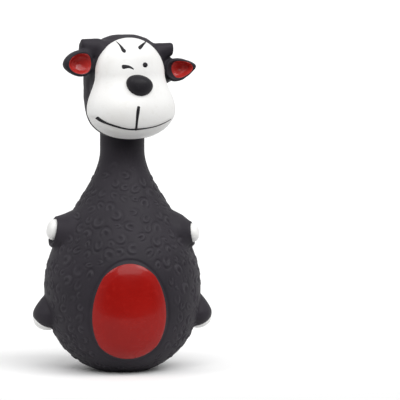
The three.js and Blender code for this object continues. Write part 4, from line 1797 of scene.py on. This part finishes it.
@dataclass
class Face:
    """The white face with its moulded mouth, nose and hand-painted strokes."""

    finishes: Finishes
    head: HeadForm
    steps: int = 110
    lip_inset: float = 0.5
    lip_soft: Range = (-0.2, 1.1)
    mouth_groove: float = 0.22
    mouth_groove_width: float = 0.5
    mouth_fade: float = 2.5
    edge_forward: float = 0.9
    edge_lean: float = 2.4
    edge_roll: float = 0.45
    edge_insets: Range = (0.2, 1.6)
    nose_across: float = 2.0
    nose_height: float = 30.8
    nose_half_width: float = 6.1
    nose_half_depth: float = 4.3
    nose_half_height: float = 5.1
    nose_swell: float = 0.1
    nose_flatness: float = 0.9
    nose_roll: float = 14.0
    nose_pitch: float = -8.0
    nose_steps: int = 56
    mouth: BrushStroke = BrushStroke(
        "mouth_line",
        (
            (-17.3, 16.9, 0.8), (-15.6, 15.5, 0.75), (-13.0, 14.2, 0.55), (-9.6, 13.0, 0.52),
            (-6.5, 12.1, 0.46), (-3.4, 11.5, 0.42), (-0.2, 11.4, 0.48), (5.0, 11.8, 0.38),
            (8.9, 12.4, 0.34), (12.9, 13.5, 0.32), (17.5, 15.2, 0.24),
        ),
        crown=0.16, cuts_along=120,
    )
    strokes: tuple[BrushStroke, ...] = (
        BrushStroke(
            "lip_line",
            ((0.7, 21.9, 0.7), (0.2, 19.4, 0.85), (-0.2, 16.0, 0.66), (-0.3, 12.6, 0.6), (-0.2, 10.9, 0.8)),
        ),
        BrushStroke(
            "right_eye_wink",
            ((-5.4, 38.9, 1.1), (-4.1, 39.0, 1.0), (-2.5, 39.0, 0.7), (-1.3, 38.6, 0.52), (0.0, 37.8, 0.26)),
        ),
        BrushStroke("left_eye", ((4.3, 39.6, 1.2), (5.4, 39.6, 1.2), (6.5, 39.6, 1.2)), crown=0.5),
        BrushStroke(
            "right_brow",
            ((-6.3, 49.9, 0.2), (-5.5, 48.9, 0.34), (-4.7, 47.6, 0.6), (-4.0, 46.2, 0.92), (-3.0, 45.5, 0.8)),
        ),
        BrushStroke("left_brow", ((7.6, 49.4, 0.28), (6.1, 48.7, 0.46), (4.7, 47.8, 0.76), (3.1, 46.7, 1.0))),
    )

    def mouth_height(self, across: float) -> float:
        """The mouth line's height at a distance across the face."""
        spots = [Vector((point[1], 0, point[0])) for point in self.mouth.points]
        return reach_at(spots, min(max(across, spots[0].z), spots[-1].z))

    def mask(self) -> BMesh:
        """The white face, open at its back.

        Returns:
            The mask, in head coordinates.
        """
        profile = [(point.x, point.z) for point in self.head.outline()]
        form = spun(profile, self.steps, sweep=math.pi, start=math.pi)
        faced(moved(self.head.flatten(form), shift(0, -self.head.face_forward, 0)), BACKWARD)
        for vert in form.verts:
            below = self.mouth_height(vert.co.x) - vert.co.z
            ahead = self.head.back_at(vert.co.z) - self.head.face_forward - vert.co.y
            lip = self.lip_inset * smoothstep(*self.lip_soft, below)
            groove = self.mouth_groove * bell(below, self.mouth_groove_width)
            vert.co -= vert.normal * ((lip + groove) * smoothstep(0.0, self.mouth_fade, ahead))
        edge = Vector((0, -self.head.face_forward - self.edge_forward, self.head.muzzle_height))
        lean = Vector((0, 1, -math.tan(math.radians(self.edge_lean)) - self.head.face_lean))
        bmesh.ops.bisect_plane(
            form, geom=whole(form), dist=MERGE, plane_co=edge, plane_no=lean, clear_outer=True,
        )
        form.normal_update()
        return form

    def rolled(self, form: BMesh) -> BMesh:
        """The mask with its edge rolled in and its back closed.

        Args:
            form: The open mask.

        Returns:
            The same form, closed.
        """
        middle = Vector((0, 0, self.head.hood_height))
        for inset in self.edge_insets:
            rim = [edge for edge in form.edges if edge.is_boundary]
            made = bmesh.ops.extrude_edge_only(form, edges=rim)["geom"]
            for vert in (item for item in made if isinstance(item, bmesh.types.BMVert)):
                inwards = Vector((middle.x - vert.co.x, 0, middle.z - vert.co.z)).normalized()
                vert.co += BACKWARD * self.edge_roll + inwards * inset
        bmesh.ops.recalc_face_normals(form, faces=form.faces)
        return closed(form)

    def nose(self, surface: BVHTree) -> BMesh:
        """The nose, an egg wider above than below, set into the face.

        Args:
            surface: The face, in head coordinates.

        Returns:
            The nose, in head coordinates.
        """
        form = ball(1, 1, 1, self.nose_steps)
        for vert in form.verts:
            up = vert.co.z
            vert.co.x *= self.nose_half_width * (1 + self.nose_swell * up)
            vert.co.y *= self.nose_half_depth
            vert.co.z = up * self.nose_half_height * (self.nose_flatness if up > 0 else 1.0)
        place, _ = landed(surface, Vector((self.nose_across, 0, self.nose_height)), BACKWARD)
        return moved(form, turn(self.nose_roll, "Y"), turn(self.nose_pitch, "X"), shift(*place))

    def dress(self) -> None:
        """Makes the face's pieces and sets them on the head."""
        place = self.head.place()
        mask = self.mask()
        surface = BVHTree.FromBMesh(mask)
        painted = [(stroke.node, stroke.build(surface)) for stroke in (self.mouth, *self.strokes)]
        painted.append(("nose", self.nose(surface)))
        face = made_piece("face_paint", moved(self.rolled(mask), place), self.finishes.white)
        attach(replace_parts(face, "face_mask"), Body.HEAD.value)
        for node, form in painted:
            piece = made_piece(f"{node}_paint", moved(form, place), self.finishes.paint)
            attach(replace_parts(piece, node), Body.HEAD.value)


@dataclass
class Squeaker:
    """The plug in the base that whistles, its reed parts kept as packed."""

    finishes: Finishes
    radius: float = 10.0
    groove_radius: float = 8.4
    flange_foot: float = 0.3
    flange_top: float = 1.3
    grip: float = 3.9
    chamber_floor: float = 4.9
    top: float = 13.3
    chamber_radius: float = 8.8
    hole_radius: float = 1.6
    dish_radius: float = 3.4
    dish_rim: float = 3.8
    dish_depth: float = 0.35
    soft: float = 0.25
    sharp: float = 35.0
    steps: int = 72

    def housing(self) -> BMesh:
        """The grooved plug with its air hole, edges softened.

        Returns:
            The plug, in the toy's frame.
        """
        soft, hole, foot = self.soft, self.hole_radius, self.flange_foot
        dish = foot + self.dish_depth
        profile = [
            (hole + soft, dish), (self.dish_radius, dish), (self.dish_rim, foot), (self.radius - soft, foot),
            (self.radius, foot + soft), (self.radius, self.flange_top), (self.groove_radius, self.flange_top),
            (self.groove_radius, self.grip), (self.radius, self.grip), (self.radius, self.top),
            (self.chamber_radius, self.top), (self.chamber_radius, self.chamber_floor),
            (hole, self.chamber_floor), (hole, dish + soft), (hole + soft, dish),
        ]
        return spun(profile, self.steps)

    def dress(self) -> None:
        """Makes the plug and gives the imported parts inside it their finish."""
        plastic, film = self.finishes.plastic, self.finishes.film
        plug = made_piece("squeaker_plug", self.housing(), plastic, self.sharp)
        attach(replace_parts(plug, "squeaker_housing"), Body.TRUNK.value)
        kept = {"squeaker_cap": plastic, "reed_block": plastic, "reed_wedge": plastic, "reed": film}
        for node, finish in kept.items():
            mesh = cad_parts[node].data
            mesh.materials.clear()
            mesh.materials.append(finish)
            log.info("kept %s", node)


@dataclass(frozen=True)
class Studio:
    """A pale floor, soft light and the camera."""

    azimuth: float = -7.0
    elevation: float = 6.0
    lens: float = 500.0
    sensor: float = 36.0
    clip: Range = (0.01, 50.0)
    frame_width: float = 179.6
    aim_right: float = 34.9
    aim_height: float = 76.4
    floor_front: float = 88.0
    floor_half: float = 2500.0
    floor_cuts: int = 8
    floor_tone: float = 0.93
    floor_bounce: float = 0.72
    floor_roughness: float = 0.7
    sky: float = 0.7
    dark_way: tuple[float, float, float] = (0.1, -1.0, 0.0)
    dark_spread: Range = (0.25, 0.85)
    dark_front: float = 0.12
    top_light: float = 1.8
    top_spread: float = 52.0
    top_tilt: float = 44.0
    top_side: float = 7.0
    lamp_powers: Range = (0.5, 0.88)
    lamp_spread: float = 26.0
    lamp_elevation: float = 48.0
    lamp_azimuths: Range = (-60.0, 55.0)

    def aim(self, thing: Object, azimuth: float, elevation: float) -> Vector:
        """Turns a camera or a lamp to look in from an azimuth and an elevation in degrees.

        Args:
            thing: The camera or the lamp.
            azimuth: Angle from the front, to the right.
            elevation: Angle over the floor.

        Returns:
            The way back from the toy to it.
        """
        back = turn(azimuth, "Z") @ turn(-elevation, "X") @ -BACKWARD
        thing.rotation_euler = (-back).to_track_quat("-Z", "Y").to_euler()
        return back

    def camera(self) -> None:
        """Makes the camera at the photograph's view."""
        data = bpy.data.cameras.new("camera")
        data.lens, data.sensor_width = self.lens, self.sensor
        data.clip_start, data.clip_end = self.clip
        camera = placed("camera", data)
        back = self.aim(camera, self.azimuth, self.elevation)
        middle = turn(self.azimuth, "Z") @ Vector((self.aim_right, 0, self.aim_height))
        camera.location = (middle + back * (self.frame_width * self.lens / self.sensor)) * MM
        bpy.context.scene.camera = camera

    def floor(self) -> None:
        """Lays the pale floor under the toy."""
        form, cuts = bmesh.new(), self.floor_cuts
        bmesh.ops.create_grid(form, x_segments=cuts, y_segments=cuts, size=self.floor_half * MM)
        moved(form, shift(0, (self.floor_half - self.floor_front) * MM, 0))
        mesh = meshed("floor", form)
        finish = bpy.data.materials.new("floor")
        finish.use_nodes = True
        wiring = Wiring(finish.node_tree)
        seen = wiring.add("ShaderNodeLightPath").outputs["Is Camera Ray"]
        dim, bright = ((tone, tone, tone, 1) for tone in (self.floor_bounce, self.floor_tone))
        looks = {"Base Color": wiring.mix(seen, dim, bright), "Roughness": self.floor_roughness}
        wiring.feed(finish.node_tree.nodes["Principled BSDF"], looks)
        mesh.materials.append(finish)
        placed("floor", mesh)

    def surround(self) -> None:
        """Sets a white surround that is darker towards the front."""
        world = bpy.data.worlds.new("surround")
        world.use_nodes = True
        wiring = Wiring(world.node_tree)
        way = wiring.add("ShaderNodeTexCoord").outputs["Generated"]
        ahead = wiring.add("ShaderNodeVectorMath", {0: way, 1: self.dark_way}, operation="DOT_PRODUCT")
        shade = wiring.spread(ahead.outputs["Value"], *self.dark_spread, self.sky, self.dark_front)
        seen = wiring.add("ShaderNodeLightPath").outputs["Is Camera Ray"]
        looks = {"Strength": wiring.math("MAXIMUM", shade, seen), "Color": (1, 1, 1, 1)}
        wiring.feed(world.node_tree.nodes["Background"], looks)
        bpy.context.scene.world = world

    def lamp(self, name: str, power: float, spread: float) -> Object:
        """A far lamp.

        Args:
            name: The lamp's name.
            power: Its power.
            spread: The spread of its light in degrees.

        Returns:
            The lamp.
        """
        data = bpy.data.lights.new(name, "SUN")
        data.energy, data.angle = power, math.radians(spread)
        return placed(name, data)

    def light(self) -> None:
        """Sets a soft light above and one on each side of the front."""
        ceiling = self.lamp("ceiling", self.top_light, self.top_spread)
        ceiling.rotation_euler = (math.radians(self.top_tilt), math.radians(self.top_side), 0)
        for azimuth, power in zip(self.lamp_azimuths, self.lamp_powers):
            self.aim(self.lamp("softbox", power, self.lamp_spread), azimuth, self.lamp_elevation)
        bpy.context.scene.view_settings.view_transform = "Standard"

    def build(self) -> None:
        """Sets up the whole studio."""
        self.camera()
        self.floor()
        self.surround()
        self.light()


def main() -> None:
    """Builds the studio and every piece of the toy, in order."""
    logging.basicConfig(level=logging.INFO, format="%(message)s")
    Studio().build()
    finishes = Finishes()
    skin = LatexSkin(finishes)
    skin.dress()
    Limbs(finishes, skin).dress()
    Face(finishes, skin.head).dress()
    Squeaker(finishes).dress()


if __name__ == "__main__":
    main()
